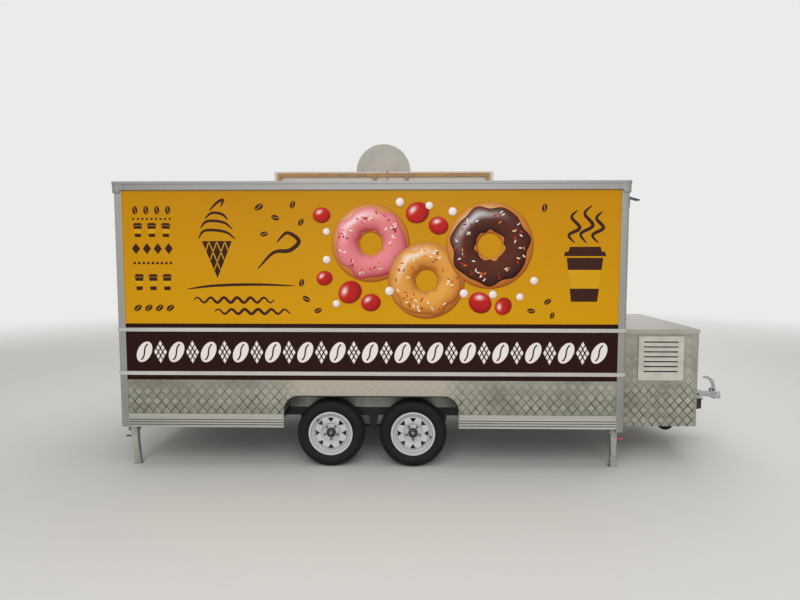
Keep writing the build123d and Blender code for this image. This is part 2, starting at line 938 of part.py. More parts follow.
def jockey_fork():
    """Stem in the outer tube and a two-cheek fork over the small wheel."""
    x = x_front + jack_place
    wheel_x = x - jack_trail
    gap = jack_wheel_width / 2 + jack_fork_room
    out = gap + jack_fork_sheet
    top = jack_axis + jack_wheel_radius + jack_crown_gap
    stem = tube_z(jack_stem_radius, x, 0, (top, jack_tube_bottom + jack_tube_length - jack_stem_hidden))
    crown = block(
        (wheel_x - jack_cheek_tail, x + jack_stem_radius), (-out, out), (top, top + jack_fork_sheet)
    )
    foot = jack_axis - jack_cheek_half
    cheek = make_face(
        Polyline(
            (wheel_x - jack_cheek_half, foot),
            (wheel_x + jack_cheek_half, foot),
            (x + jack_stem_radius, top),
            (wheel_x - jack_cheek_tail, top),
            close=True,
        )
    )
    fork = stem + crown
    for y in ((-out, -gap), (gap, out)):
        fork += extrude_y(cheek, y)
    end = out + jack_pin_end
    return [fork + tube_y(jack_pin_radius, wheel_x, (-end, end), jack_axis)]


def jockey_wheel():
    """Small wheel with a solid tyre, a thin web and a long hub."""
    x = x_front + jack_place - jack_trail
    half = jack_wheel_width / 2
    near = (
        (jack_pin_radius + spindle_fit, -half),
        (jack_hub_radius, -half),
        (jack_hub_radius + 2, -jack_web_half - 1),
        (jack_tread_radius - 4, -jack_web_half + 1),
        (jack_tread_radius, -half + 3),
        (jack_wheel_radius - jack_shoulder, -half),
        (jack_wheel_radius, -half + jack_shoulder - 2),
    )
    section = [*near, *((r, -y) for r, y in reversed(near))]
    return [Pos(x, 0, jack_axis) * revolved(section)]


# Corner legs: each swings up towards the middle about a bolt along X

def leg_at(x, lean):
    """Near leg: sleeve, inner tube and flat foot. The foot stands lean further along X."""
    y = -y_side + leg_inset
    drop = leg_pivot
    angle = math.degrees(math.atan2(lean, drop))
    half = leg_tube / 2
    inner = leg_inner / 2
    long = drop / math.cos(math.radians(angle)) + leg_end
    sleeve = block((-half, half), (-half, half), (-leg_sleeve, leg_above_pivot))
    tube = block((-inner, inner), (-inner, inner), (-long, -leg_sleeve))
    leaning = Pos(x, y, leg_pivot) * Rot(0, angle, 0) * (sleeve + tube)
    hole = tube_x(leg_pin_radius + spindle_fit, (x - leg_tube, x + leg_tube), y, leg_pivot)
    below = block(
        (x - leg_clear, x + leg_clear), (y - leg_clear, y + leg_clear), (-leg_clear, leg_foot_plate)
    )
    foot_x = x - lean
    pad = leg_foot / 2
    plate = block((foot_x - pad, foot_x + pad), (y - pad, y + pad), (0, leg_foot_plate))
    return leaning - hole - below + plate


def leg_bracket(x, edge):
    """Two cheeks and a top plate that reaches to the end beam, with the pivot bolt."""
    y = -y_side + leg_inset
    inside = leg_tube / 2 + leg_gap
    outside = inside + leg_cheek
    half = leg_tube / 2 + leg_bracket_margin
    low = leg_pivot - leg_tube / 2
    piece = block(
        (min(x - outside, edge), max(x + outside, edge)),
        (y - half, y + half),
        (rail_bottom - leg_cheek, rail_bottom),
    )
    for side in (-1, 1):
        x0, x1 = sorted((x + side * inside, x + side * outside))
        piece += block((x0, x1), (y - half, y + half), (low, rail_bottom))
    reach = outside + leg_bolt_end
    return piece + tube_x(leg_pin_radius, (x - reach, x + reach), y, leg_pivot)


leg_places = (  # corner, x, lean of the foot along X, edge of the end beam
    ("rear", x_rear + rear_leg_place, -rear_leg_lean, x_rear_inner + end_beam),
    ("front", x_front - front_leg_place, 0, x_front_inner - end_beam),
)


def leg_brackets():
    near = [leg_bracket(x, edge) for _, x, _, edge in leg_places]
    return both_sides(*near)


# Front box with its lid and louvres

def box_cheek_opening():
    x0 = x_front + louvre_start + louvre_border
    x1 = x_front + louvre_start + louvre_width - louvre_border
    z0 = louvre_bottom + louvre_border
    z1 = louvre_bottom + louvre_height - louvre_border / 2
    return (x0, x1), (z0, z1)


def front_box():
    """Open-topped case over the drawbar: two cheeks, a front and a floor with its gas vent."""
    x0 = x_front_skin
    x1 = x_front + box_length
    y = y_side - box_inset
    rim = box_top - lid_sheet - lid_seat
    case = block((x0, x1), (-y, y), (box_bottom, rim))
    case -= block(
        (x0 - 1, x1 - box_sheet),
        (-y + box_sheet, y - box_sheet),
        (rail_bottom + box_sheet, rim + 1),
    )
    case -= block(
        (x0 - 1, x1 - box_sheet), (-y + box_sheet, y - box_sheet), (box_bottom - 1, rail_bottom)
    )
    case -= block((x1 - box_sheet - 1, x1 + 1), (-notch_half, notch_half), (box_bottom - 1, rail_bottom))
    along, across = vent_size
    case -= block(
        (x_front + vent_start, x_front + vent_start + along),
        (-across / 2, across / 2),
        (rail_bottom - 1, rail_bottom + box_sheet + 1),
    )
    span, height = box_cheek_opening()
    for side in (-1, 1):
        y0, y1 = sorted((side * (y - box_sheet - 1), side * (y + 1)))
        case -= block(span, (y0, y1), height)
    return [case]


def front_box_lid():
    """Shallow tray, upside down over the rim, hinged along the wall."""
    hinge_x = x_front_skin + hinge_seat + hinge_radius
    x1 = x_front + box_length + lid_gap + lid_sheet
    y = y_side - box_inset + lid_gap + lid_sheet
    tray = block((hinge_x, x1), (-y, y), (box_top - lid_fold, box_top))
    tray -= block(
        (hinge_x - 1, x1 - lid_sheet),
        (-y + lid_sheet, y - lid_sheet),
        (box_top - lid_fold - 1, box_top - lid_sheet),
    )
    between = y_side - box_inset - box_sheet - lid_gap
    barrel = tube_y(hinge_radius, hinge_x, (-between, between), box_top)
    return [tray + barrel]


def louvre():
    """Moulded frame with hooded slots on the near cheek."""
    x0 = x_front + louvre_start
    x1 = x0 + louvre_width
    y = -y_side + box_inset
    z0 = louvre_bottom
    z1 = z0 + louvre_height
    plate = block((x0, x1), (y - louvre_depth, y), (z0, z1))
    plate -= block(
        (x0 + louvre_border / 2, x1 - louvre_border / 2),
        (y - louvre_depth + louvre_lip, y + 1),
        (z0 + louvre_border / 2, z1 - louvre_border / 2),
    )
    span = (x0 + louvre_border, x1 - louvre_border)
    for k in range(slot_count):
        z = z1 - slot_first - k * slot_pitch
        plate -= block(span, (y - louvre_depth - 1, y), (z - slot_height / 2, z + slot_height / 2))
        hood = make_face(
            Polyline(
                (y - louvre_depth, z + slot_height / 2 + slat_rise),
                (y - louvre_depth - slat_rise, z + slat_over),
                (y - louvre_depth - slat_rise, z + slat_over - slat_edge),
                (y - louvre_depth, z + slot_height / 2),
                close=True,
            )
        )
        hood = extrude(Plane.YZ * hood, span[1] - span[0])
        plate += Pos(span[0], 0, 0) * hood
    return plate


# Serving side: hatch and counter

def serving_hatch():
    """Flush panel with an edge frame, hung from a barrel along its top edge."""
    middle = (x_rear + x_front) / 2
    x = (middle - hatch_width / 2, middle + hatch_width / 2)
    leaf_sheet = block(x, (y_inner, y_skin), (hatch_bottom, hatch_top))
    barrel = tube_x(hinge_radius, x, y_skin + hinge_seat + hinge_radius, hatch_top + hatch_gap)
    strap = block(
        x, (y_skin, y_skin + hinge_seat + hinge_radius), (hatch_top - hatch_strap, hatch_top + hatch_gap)
    )
    strap -= block(
        (x[0] - 1, x[1] + 1),
        (y_skin - 1, y_skin + hinge_seat),
        (hatch_top, hatch_top + 2 * hatch_gap),
    )
    edge = block(x, (y_skin, y_skin + frame_sheet), (hatch_bottom, hatch_top - hatch_strap))
    edge -= block(
        (x[0] + frame_width, x[1] - frame_width),
        (y_skin - 1, y_side),
        (hatch_bottom + frame_width, hatch_top),
    )
    return [leaf_sheet + edge + strap + barrel]


def counter_shelf():
    """Shelf folded down against the wall, on a barrel along its upper edge."""
    middle = (x_rear + x_front) / 2
    x = (middle - counter_width / 2, middle + counter_width / 2)
    hinge_y = y_side + band_proud + hinge_seat + hinge_radius
    z = counter_hinge_height
    back = hinge_y - hinge_radius + counter_seat
    shelf = block(x, (back, back + counter_thickness), (z - counter_depth, z))
    return [shelf + tube_x(hinge_radius, x, hinge_y, z)]


def entry_door():
    """Door in the rear wall with its hinge barrel and a bow handle."""
    half = door_width / 2
    leaf_sheet = block(
        (x_rear_skin, x_rear_inner), (-half, half), (floor_top + door_gap, door_top)
    )
    hinge_x = x_rear_skin - hinge_seat - hinge_radius
    hinge_y = half + door_gap
    door = leaf_sheet
    for middle in hinge_heights:
        z = (middle - hinge_length / 2, middle + hinge_length / 2)
        door += tube_z(hinge_radius, hinge_x, hinge_y, z)
        door += block((hinge_x, x_rear_skin), (half - hinge_leaf, half), z)
        door += block((hinge_x - hinge_leaf_half, hinge_x + hinge_leaf_half), (half - hinge_leaf, hinge_y), z)
    bar_x = x_rear_skin - handle_reach
    grip_y = -half + handle_inset
    ends = (handle_height - handle_length / 2, handle_height + handle_length / 2)
    door += tube_z(handle_radius, bar_x, grip_y, ends)
    for z in ends:
        door += tube_x(handle_radius, (bar_x, x_rear_skin), grip_y, z)
    return [door]


# Roof sign and small fittings

def sign_frame():
    """Square-tube frame standing on the roof behind the sign box."""
    y1 = y_side - sign_set_back - sign_depth
    y0 = y1 - sign_tube
    half = sign_length / 2 - sign_margin
    top = sign_top - sign_margin / 2
    rail = block((sign_middle - half, sign_middle + half), (y0, y1), (top - sign_tube, top))
    end = half - sign_tube / 2
    for place in (-end, *sign_inner_posts, end):
        x = sign_middle + place
        rail += block((x - sign_tube / 2, x + sign_tube / 2), (y0, y1), (roof_top, top))
    return [rail]


def sign_board():
    """Shallow sign box with a round disc that stands up from its middle."""
    y1 = y_side - sign_set_back
    half = sign_length / 2
    y0 = y1 - sign_depth
    tray = block((sign_middle - half, sign_middle + half), (y0, y1), (roof_top, sign_top))
    disc = tube_y(sign_disc_radius, sign_middle, (y0, y0 + sign_disc_depth), sign_top)
    return [tray + disc]


def tail_lamps():
    width, height = lamp_size
    y0 = -y_side + lamp_inset
    lamp = block((x_rear_skin - lamp_depth, x_rear_skin), (y0, y0 + width), (lamp_height, lamp_height + height))
    return both_sides(fillet(lamp.faces().sort_by(Axis.X)[0].edges(), lamp_corner))


def power_inlet():
    """Weatherproof inlet on the front wall, with a round socket and its flap held up."""
    y = -y_side + inlet_place
    width, height = inlet_size
    low = inlet_height - height / 2
    face = x_front_skin + inlet_depth
    body = block((x_front_skin, face), (y - width / 2, y + width / 2), (low, low + height))
    body = fillet(body.edges().filter_by(Axis.X), inlet_rim)
    body -= tube_x(inlet_socket_radius, (face - inlet_socket_depth, face + 1), y, inlet_height)
    hinge_z = low + height + inlet_hinge_radius / 2
    hinge = tube_y(inlet_hinge_radius, face, (y - width / 2, y + width / 2), hinge_z)
    flap = block(
        (0, inlet_flap_length), (-width / 2, width / 2), (-inlet_flap_thickness / 2, inlet_flap_thickness / 2)
    )
    flap = Pos(face, y, hinge_z) * Rot(0, inlet_flap_droop, 0) * flap
    return [body + hinge + flap]


parts_list = {}


def add(name, pieces):
    parts_list[name] = pieces


add("main_rails", main_rails())
add("cross_members", cross_members())
add("spring_hangers", spring_hangers())
add("equalisers", equalisers())
add("leaf_springs", leaf_springs())
add("axles", axles())
add("drawbar_beams", drawbar_beams())
add("drawbar_plates", drawbar_plates())
add("coupling_head", coupling_head())
add("coupling_lever", coupling_lever())
add("jockey_tube", jockey_tube())
add("jockey_fork", jockey_fork())
add("jockey_wheel", jockey_wheel())

tyre = tyre_shape()
wheel = wheel_shape()
for place, x in zip(("rear", "front"), axle_x):
    for side, flip in (("near", False), ("far", True)):
        for name, shape in (("tyre", tyre), ("wheel", wheel)):
            piece = Pos(x, -wheel_y, tyre_radius) * shape
            add(f"{name}_{place}_{side}", [far_side(piece) if flip else piece])

add("floor", [floor()])
add("near_upper_panel", [upper_panel()])
add("near_lower_panel", [lower_panel()])
add("far_upper_panel", [far_upper_panel()])
add("far_lower_panel", [far_side(lower_panel())])
add("front_wall", [front_wall()])
add("rear_wall", [rear_wall()])
add("roof_panel", [roof_panel()])
add("corner_posts", corner_posts())
add("roof_trims", [roof_trims()])
add("side_bands", side_bands())
add("sills", sills())
add("wheel_boxes", both_sides(wheel_box()))
add("front_box", front_box())
add("front_box_lid", front_box_lid())
add("box_louvres", both_sides(louvre()))
add("serving_hatch", serving_hatch())
add("counter_shelf", counter_shelf())
add("entry_door", entry_door())
add("sign_frame", sign_frame())
add("sign_board", sign_board())
add("tail_lamps", tail_lamps())
add("power_inlet", power_inlet())
add("leg_brackets", leg_brackets())
for place, x, lean, _ in leg_places:
    near = leg_at(x, lean)
    add(f"leg_{place}_near", [near])
    add(f"leg_{place}_far", [far_side(near)])

os.makedirs("parts", exist_ok=True)
for name, pieces in parts_list.items():
    export_step(Compound(label=name, children=list(pieces)), f"parts/{name}.step")
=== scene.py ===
import bmesh
import bpy
import numpy as np
from math import pi, radians, tau
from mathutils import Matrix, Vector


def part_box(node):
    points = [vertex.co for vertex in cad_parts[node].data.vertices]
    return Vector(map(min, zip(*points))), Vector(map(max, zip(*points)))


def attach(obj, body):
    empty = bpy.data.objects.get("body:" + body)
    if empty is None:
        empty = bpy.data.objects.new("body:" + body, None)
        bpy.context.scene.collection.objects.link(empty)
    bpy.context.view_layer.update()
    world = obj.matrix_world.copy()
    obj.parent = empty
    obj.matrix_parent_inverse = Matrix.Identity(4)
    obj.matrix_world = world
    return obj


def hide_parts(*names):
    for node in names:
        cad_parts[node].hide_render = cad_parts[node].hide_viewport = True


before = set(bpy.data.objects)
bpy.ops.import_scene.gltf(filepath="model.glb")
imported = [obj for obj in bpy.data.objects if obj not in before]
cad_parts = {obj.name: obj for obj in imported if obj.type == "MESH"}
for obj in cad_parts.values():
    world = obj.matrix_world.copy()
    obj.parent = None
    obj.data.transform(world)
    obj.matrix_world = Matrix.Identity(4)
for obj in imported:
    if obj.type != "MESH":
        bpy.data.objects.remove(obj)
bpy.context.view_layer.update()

postLow, postHigh = (np.array(c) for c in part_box("corner_posts"))
xRear, xFront = postLow[0], postHigh[0]
ySide = postHigh[1]
xMiddle = (xRear + xFront) / 2
skinY = ySide - 0.006  # outer face of the wall panels
print("frame loaded:", len(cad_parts), "nodes")


# Nodes and materials

def linearColour(hexText):  # sRGB hex to linear red, green, blue and alpha
    parts = np.array([int(hexText[i:i + 2], 16) for i in (1, 3, 5)]) / 255
    parts = np.where(parts <= 0.04045, parts / 12.92, ((parts + 0.055) / 1.055) ** 2.4)
    return (*parts.tolist(), 1.0)


def addNode(tree, kind, inputs=None, out=0, ramp=None, **settings):  # a node with its settings and links
    node = tree.nodes.new(kind)
    for key, value in settings.items():
        setattr(node, key, value)
    for key, value in (inputs or {}).items():
        if isinstance(value, bpy.types.NodeSocket):
            tree.links.new(value, node.inputs[key])
        else:
            plain = linearColour(value) if isinstance(value, str) else value
            node.inputs[key].default_value = plain
    for k, (position, colour) in enumerate(ramp or ()):
        stops = node.color_ramp.elements
        stop = stops[k] if k < len(stops) else stops.new(position)
        stop.position, stop.color = position, linearColour(colour)
    return node.outputs[out]


def startMaterial(name, colour, roughness, metallic=0.0):
    material = bpy.data.materials.new(name)
    material.use_nodes = True
    tree = material.node_tree
    shader = tree.nodes["Principled BSDF"]
    shader.inputs["Base Color"].default_value = linearColour(colour)
    shader.inputs["Roughness"].default_value = roughness
    shader.inputs["Metallic"].default_value = metallic
    place = addNode(tree, "ShaderNodeTexCoord", out="Object")
    return material, tree, shader, place


def mottledMaterial(name, colours, roughness, size, metallic=0.0, bump=0.0, stretch=(1, 1, 1), coat=0.0):
    # Two or three tones in soft patches of the given size in metres, roughness and relief from the same noise
    material, tree, shader, place = startMaterial(name, colours[0], roughness[0], metallic)
    placed = addNode(tree, "ShaderNodeMapping", {"Vector": place, "Scale": stretch})
    noise = addNode(tree, "ShaderNodeTexNoise", {"Vector": placed, "Scale": 1 / size, "Detail": 6.0,
                                                 "Roughness": 0.62})
    stops = [(0.34 + 0.32 * k / (len(colours) - 1), c) for k, c in enumerate(colours)]
    tone = addNode(tree, "ShaderNodeValToRGB", {"Fac": noise}, ramp=stops)
    tree.links.new(tone, shader.inputs["Base Color"])
    rough = addNode(tree, "ShaderNodeMapRange", {"Value": noise, "From Min": 0.3, "From Max": 0.7,
                                                 "To Min": roughness[0], "To Max": roughness[1]})
    tree.links.new(rough, shader.inputs["Roughness"])
    shader.inputs["Coat Weight"].default_value = coat
    if bump:
        fine = addNode(tree, "ShaderNodeTexNoise", {"Vector": placed, "Scale": 9 / size, "Detail": 3.0})
        normal = addNode(tree, "ShaderNodeBump", {"Height": fine, "Distance": bump})
        tree.links.new(normal, shader.inputs["Normal"])
    return material


def galvanisedSteel():  # hot-dip zinc: frosty grey with spangle patches 10 to 20 mm across
    material, tree, shader, place = startMaterial("galvanisedSteel", "#A3A39B", 0.45, 0.6)
    spangle = addNode(tree, "ShaderNodeTexVoronoi", {"Vector": place, "Scale": 70.0}, out="Color")
    cloud = addNode(tree, "ShaderNodeTexNoise", {"Vector": place, "Scale": 5.0, "Detail": 5.0})
    mix = addNode(tree, "ShaderNodeMix", {0: 0.35, 6: cloud, 7: spangle}, out=2, data_type="RGBA")
    tone = addNode(tree, "ShaderNodeValToRGB", {"Fac": mix}, ramp=[(0.3, "#868780"), (0.62, "#B4B4AB")])
    tree.links.new(tone, shader.inputs["Base Color"])
    rough = addNode(tree, "ShaderNodeMapRange", {"Value": mix, "To Min": 0.38, "To Max": 0.62})
    tree.links.new(rough, shader.inputs["Roughness"])
    return material


plate = {"pitchX": 0.080, "pitchZ": 0.0915, "channel": "#36342D",
         "wallTones": ("#777869", "#919284", "#A4A597"), "boxTones": ("#7D796E", "#99968A", "#ADA99D"), "fadeLow": 0.60, "fadeHigh": 0.78, "plain": "#B4B2A8", "overArch": "#B1A99D",
         "archMiddle": xRear + 2.216, "archEnd": 0.78}


def plateTone(tree, place, tones):
    # Mill-finish tread plate: the bars' groups stand on a staggered lattice, and dirt stays in the channels between.
    # X+Y runs along every upright face, so a channel is where (X+Y)/pitchX plus or minus Z/pitchZ is a half
    split = addNode(tree, "ShaderNodeSeparateXYZ", {"Vector": place}).node
    along = addNode(tree, "ShaderNodeMath", {0: split.outputs["X"], 1: split.outputs["Y"]}, operation="ADD")
    along = addNode(tree, "ShaderNodeMath", {0: along, 1: plate["pitchX"]}, operation="DIVIDE")
    up = addNode(tree, "ShaderNodeMath", {0: split.outputs["Z"], 1: plate["pitchZ"]}, operation="DIVIDE")
    lines = []
    for way in ("ADD", "SUBTRACT"):
        both = addNode(tree, "ShaderNodeMath", {0: along, 1: up}, operation=way)
        lines.append(addNode(tree, "ShaderNodeMath", {0: both, 1: 0.5}, operation="PINGPONG"))
    line = addNode(tree, "ShaderNodeMath", {0: lines[0], 1: lines[1]}, operation="MAXIMUM")
    line = addNode(tree, "ShaderNodeMapRange", {"Value": line, "From Min": 0.385, "From Max": 0.465})
    stain = addNode(tree, "ShaderNodeTexNoise", {"Vector": place, "Scale": 2.1, "Detail": 8.0, "Roughness": 0.68})
    fade = addNode(tree, "ShaderNodeMapRange", {"Value": split.outputs["Z"], "From Min": plate["fadeLow"],
                                                "From Max": plate["fadeHigh"], "To Min": 1.0, "To Max": 0.14})
    patch = addNode(tree, "ShaderNodeMapRange", {"Value": stain, "From Min": 0.36, "From Max": 0.56,
                                                 "To Min": 0.55, "To Max": 1.0})
    dirtAndShade = addNode(tree, "ShaderNodeMath", {0: line, 1: fade}, operation="MULTIPLY")
    dirtAndShade = addNode(tree, "ShaderNodeMath", {0: dirtAndShade, 1: patch}, operation="MULTIPLY")
    # Feet and rain have rubbed some channels clean, a few diamonds at a time
    rubbed = addNode(tree, "ShaderNodeTexNoise", {"Vector": place, "Scale": 15.0, "Detail": 3.0})
    rubbed = addNode(tree, "ShaderNodeMapRange", {"Value": rubbed, "From Min": 0.38, "From Max": 0.58,
                                                  "To Min": 0.42, "To Max": 1.0})
    dirtAndShade = addNode(tree, "ShaderNodeMath", {0: dirtAndShade, 1: rubbed}, operation="MULTIPLY")
    tone = addNode(tree, "ShaderNodeValToRGB", {"Fac": stain}, ramp=list(zip((0.32, 0.5, 0.68), tones)))
    # Over the wheel arch the panel is lighter and its channels clean
    off = addNode(tree, "ShaderNodeMath", {0: split.outputs["X"], 1: plate["archMiddle"]}, operation="SUBTRACT")
    off = addNode(tree, "ShaderNodeMath", {0: off}, operation="ABSOLUTE")
    clean = addNode(tree, "ShaderNodeMapRange", {"Value": off, "From Min": plate["archEnd"] - 0.16,
                                                 "From Max": plate["archEnd"], "To Min": 1.0, "To Max": 0.0})
    tone = addNode(tree, "ShaderNodeMix", {0: clean, 6: tone, 7: plate["overArch"]}, out=2, data_type="RGBA")
    archChannelFactor = addNode(tree, "ShaderNodeMath", {0: clean, 1: -0.82, 2: 1.0}, operation="MULTIPLY_ADD")
    dirtAndShade = addNode(tree, "ShaderNodeMath", {0: dirtAndShade, 1: archChannelFactor}, operation="MULTIPLY")
    return addNode(tree, "ShaderNodeMix", {0: dirtAndShade, 6: tone, 7: plate["channel"]}, out=2, data_type="RGBA"), stain


def treadPlate():
    material, tree, shader, place = startMaterial("treadPlate", plate["boxTones"][1], 0.46, 0.35)
    tone, stain = plateTone(tree, place, plate["boxTones"])
    tree.links.new(tone, shader.inputs["Base Color"])
    rough = addNode(tree, "ShaderNodeMapRange", {"Value": stain, "To Min": 0.36, "To Max": 0.6})
    tree.links.new(rough, shader.inputs["Roughness"])
    fine = addNode(tree, "ShaderNodeTexNoise", {"Vector": place, "Scale": 90.0, "Detail": 2.0})
    normal = addNode(tree, "ShaderNodeBump", {"Height": fine, "Distance": 0.0004})
    tree.links.new(normal, shader.inputs["Normal"])
    return material


def boxLid():  # tread plate folded down at its edges, its top weathered to a dusty oxide
    material, tree, shader, place = startMaterial("weatheredLid", "#B5B1A8", 0.5, 0.3)
    tone, stain = plateTone(tree, place, plate["boxTones"])
    facing = addNode(tree, "ShaderNodeNewGeometry", out="Normal")
    facing = addNode(tree, "ShaderNodeSeparateXYZ", {"Vector": facing}, out="Z")
    top = addNode(tree, "ShaderNodeMapRange", {"Value": facing, "From Min": 0.5, "From Max": 0.7})
    dust = addNode(tree, "ShaderNodeValToRGB", {"Fac": stain}, ramp=[(0.35, "#7E7A74"), (0.6, "#8D8983")])
    fold = addNode(tree, "ShaderNodeMix", {0: 0.35, 6: tone, 7: "#C0BBB1"}, out=2, data_type="RGBA")
    tone = addNode(tree, "ShaderNodeMix", {0: top, 6: fold, 7: dust}, out=2, data_type="RGBA")
    tree.links.new(tone, shader.inputs["Base Color"])
    rough = addNode(tree, "ShaderNodeMapRange", {"Value": stain, "To Min": 0.4, "To Max": 0.62})
    tree.links.new(rough, shader.inputs["Roughness"])
    return material


wallFilm = {"filmBottom": 1.284, "skirtTop": 0.788,
            # yellowRoofShade is the yellow darkened by painted shade under the roof's edge
            "yellowLow": "#D19803", "yellowRoofShade": "#BD8204", "brown": "#270D0B",
            "inner": "#DADAD4", "edge": "#A3A3A0", "frame": "#9C9B97", "sealant": "#83754F", "sealantFrom": 2.4285,
            "stripTop": 0.4835}


def printedWall():
    # Wall panel: cast vinyl film outside in yellow and brown, bare tread plate below, white glass-fibre inside.
    # What stands proud of the panel's face, such as a frame, a hinge or a gutter, is anodised aluminium
    w = wallFilm
    material, tree, shader, place = startMaterial("printedWall", w["yellowLow"], 0.4)
    shader.inputs["Specular IOR Level"].default_value = 0.1
    split = addNode(tree, "ShaderNodeSeparateXYZ", {"Vector": place}).node
    wave = addNode(tree, "ShaderNodeTexNoise", {"Vector": place, "Scale": 1.1, "Detail": 2.0})
    # The yellow turns darker towards the roof: painted shade under the roof's edge, mottled by the noise
    height = addNode(tree, "ShaderNodeMapRange", {"Value": split.outputs["Z"], "From Min": w["filmBottom"],
                                                  "From Max": 2.436, "To Min": 0.0, "To Max": 0.85})
    height = addNode(tree, "ShaderNodeMath", {0: wave, 1: 0.22, 2: height}, operation="MULTIPLY_ADD")
    film = addNode(tree, "ShaderNodeMix", {0: height, 6: w["yellowLow"], 7: w["yellowRoofShade"]}, out=2,
                   data_type="RGBA")
    for level, colour in ((w["filmBottom"], w["brown"]), (w["skirtTop"], plateTone(tree, place, plate["wallTones"])[0])):
        under = addNode(tree, "ShaderNodeMath", {0: split.outputs["Z"], 1: level}, operation="LESS_THAN")
        film = addNode(tree, "ShaderNodeMix", {0: under, 6: film, 7: colour}, out=2, data_type="RGBA")
    strip = addNode(tree, "ShaderNodeMath", {0: split.outputs["Z"], 1: w["stripTop"]}, operation="LESS_THAN")
    film = addNode(tree, "ShaderNodeMix", {0: strip, 6: film, 7: plate["plain"]}, out=2, data_type="RGBA")
    sealed = addNode(tree, "ShaderNodeMath", {0: split.outputs["Z"], 1: w["sealantFrom"]}, operation="GREATER_THAN")
    film = addNode(tree, "ShaderNodeMix", {0: sealed, 6: film, 7: w["sealant"]}, out=2, data_type="RGBA")
    outward = None  # how far the point lies outside the panels' inner face
    for axis, middle, inner in (("Y", 0.0, skinY - 0.04), ("X", xMiddle, xFront - xMiddle - 0.046)):
        off = addNode(tree, "ShaderNodeMath", {0: split.outputs[axis], 1: middle}, operation="SUBTRACT")
        off = addNode(tree, "ShaderNodeMath", {0: off}, operation="ABSOLUTE")
        off = addNode(tree, "ShaderNodeMath", {0: off, 1: inner}, operation="SUBTRACT")
        outward = off if outward is None else addNode(tree, "ShaderNodeMath", {0: outward, 1: off},
                                                      operation="MAXIMUM")
    skin = addNode(tree, "ShaderNodeMath", {0: outward, 1: 0.038}, operation="GREATER_THAN")
    liner = addNode(tree, "ShaderNodeMath", {0: outward, 1: 0.002}, operation="LESS_THAN")
    colour = addNode(tree, "ShaderNodeMix", {0: skin, 6: w["edge"], 7: film}, out=2, data_type="RGBA")
    colour = addNode(tree, "ShaderNodeMix", {0: liner, 6: colour, 7: w["inner"]}, out=2, data_type="RGBA")
    proud = addNode(tree, "ShaderNodeMath", {0: outward, 1: 0.0408}, operation="GREATER_THAN")
    above = addNode(tree, "ShaderNodeMath", {0: 1.0, 1: under}, operation="SUBTRACT")
    framed = addNode(tree, "ShaderNodeMath", {0: proud, 1: above}, operation="MULTIPLY")
    colour = addNode(tree, "ShaderNodeMix", {0: framed, 6: colour, 7: w["frame"]}, out=2, data_type="RGBA")
    tree.links.new(colour, shader.inputs["Base Color"])
    bare = addNode(tree, "ShaderNodeMath", {0: under, 1: skin}, operation="MULTIPLY")
    bare = addNode(tree, "ShaderNodeMath", {0: bare, 1: framed}, operation="MAXIMUM")
    metal = addNode(tree, "ShaderNodeMath", {0: bare, 1: 0.4}, operation="MULTIPLY")
    tree.links.new(metal, shader.inputs["Metallic"])
    peel = addNode(tree, "ShaderNodeTexNoise", {"Vector": place, "Scale": 160.0, "Detail": 2.0})
    rough = addNode(tree, "ShaderNodeMapRange", {"Value": wave, "To Min": 0.36, "To Max": 0.5})
    tree.links.new(rough, shader.inputs["Roughness"])
    normal = addNode(tree, "ShaderNodeBump", {"Height": peel, "Distance": 0.0002})
    tree.links.new(normal, shader.inputs["Normal"])
    return material


def printInk():  # solvent ink on the film: colour carried by each piece's own attribute
    material, tree, shader, place = startMaterial("printInk", "#402020", 0.42)
    shader.inputs["Specular IOR Level"].default_value = 0.1
    ink = addNode(tree, "ShaderNodeAttribute", out="Color", attribute_name="ink")
    tree.links.new(ink, shader.inputs["Base Color"])
    peel = addNode(tree, "ShaderNodeTexNoise", {"Vector": place, "Scale": 160.0, "Detail": 2.0})
    normal = addNode(tree, "ShaderNodeBump", {"Height": peel, "Distance": 0.0002})
    tree.links.new(normal, shader.inputs["Normal"])
    return material


wheelPaint = {"axles": (xRear + 1.854, xRear + 2.585), "height": 0.300, "wheelY": ySide - 0.122,
              "white": "#C6C8CA", "dust": "#7E776C", "drum": "#0B0A0A", "hubFace": 0.0236,
              "discLine": ((0.074, 0.092, 0.0236), (0.092, 0.126, 0.006), (0.126, 0.144, -0.006),
                           (0.144, 0.158, -0.0354))}


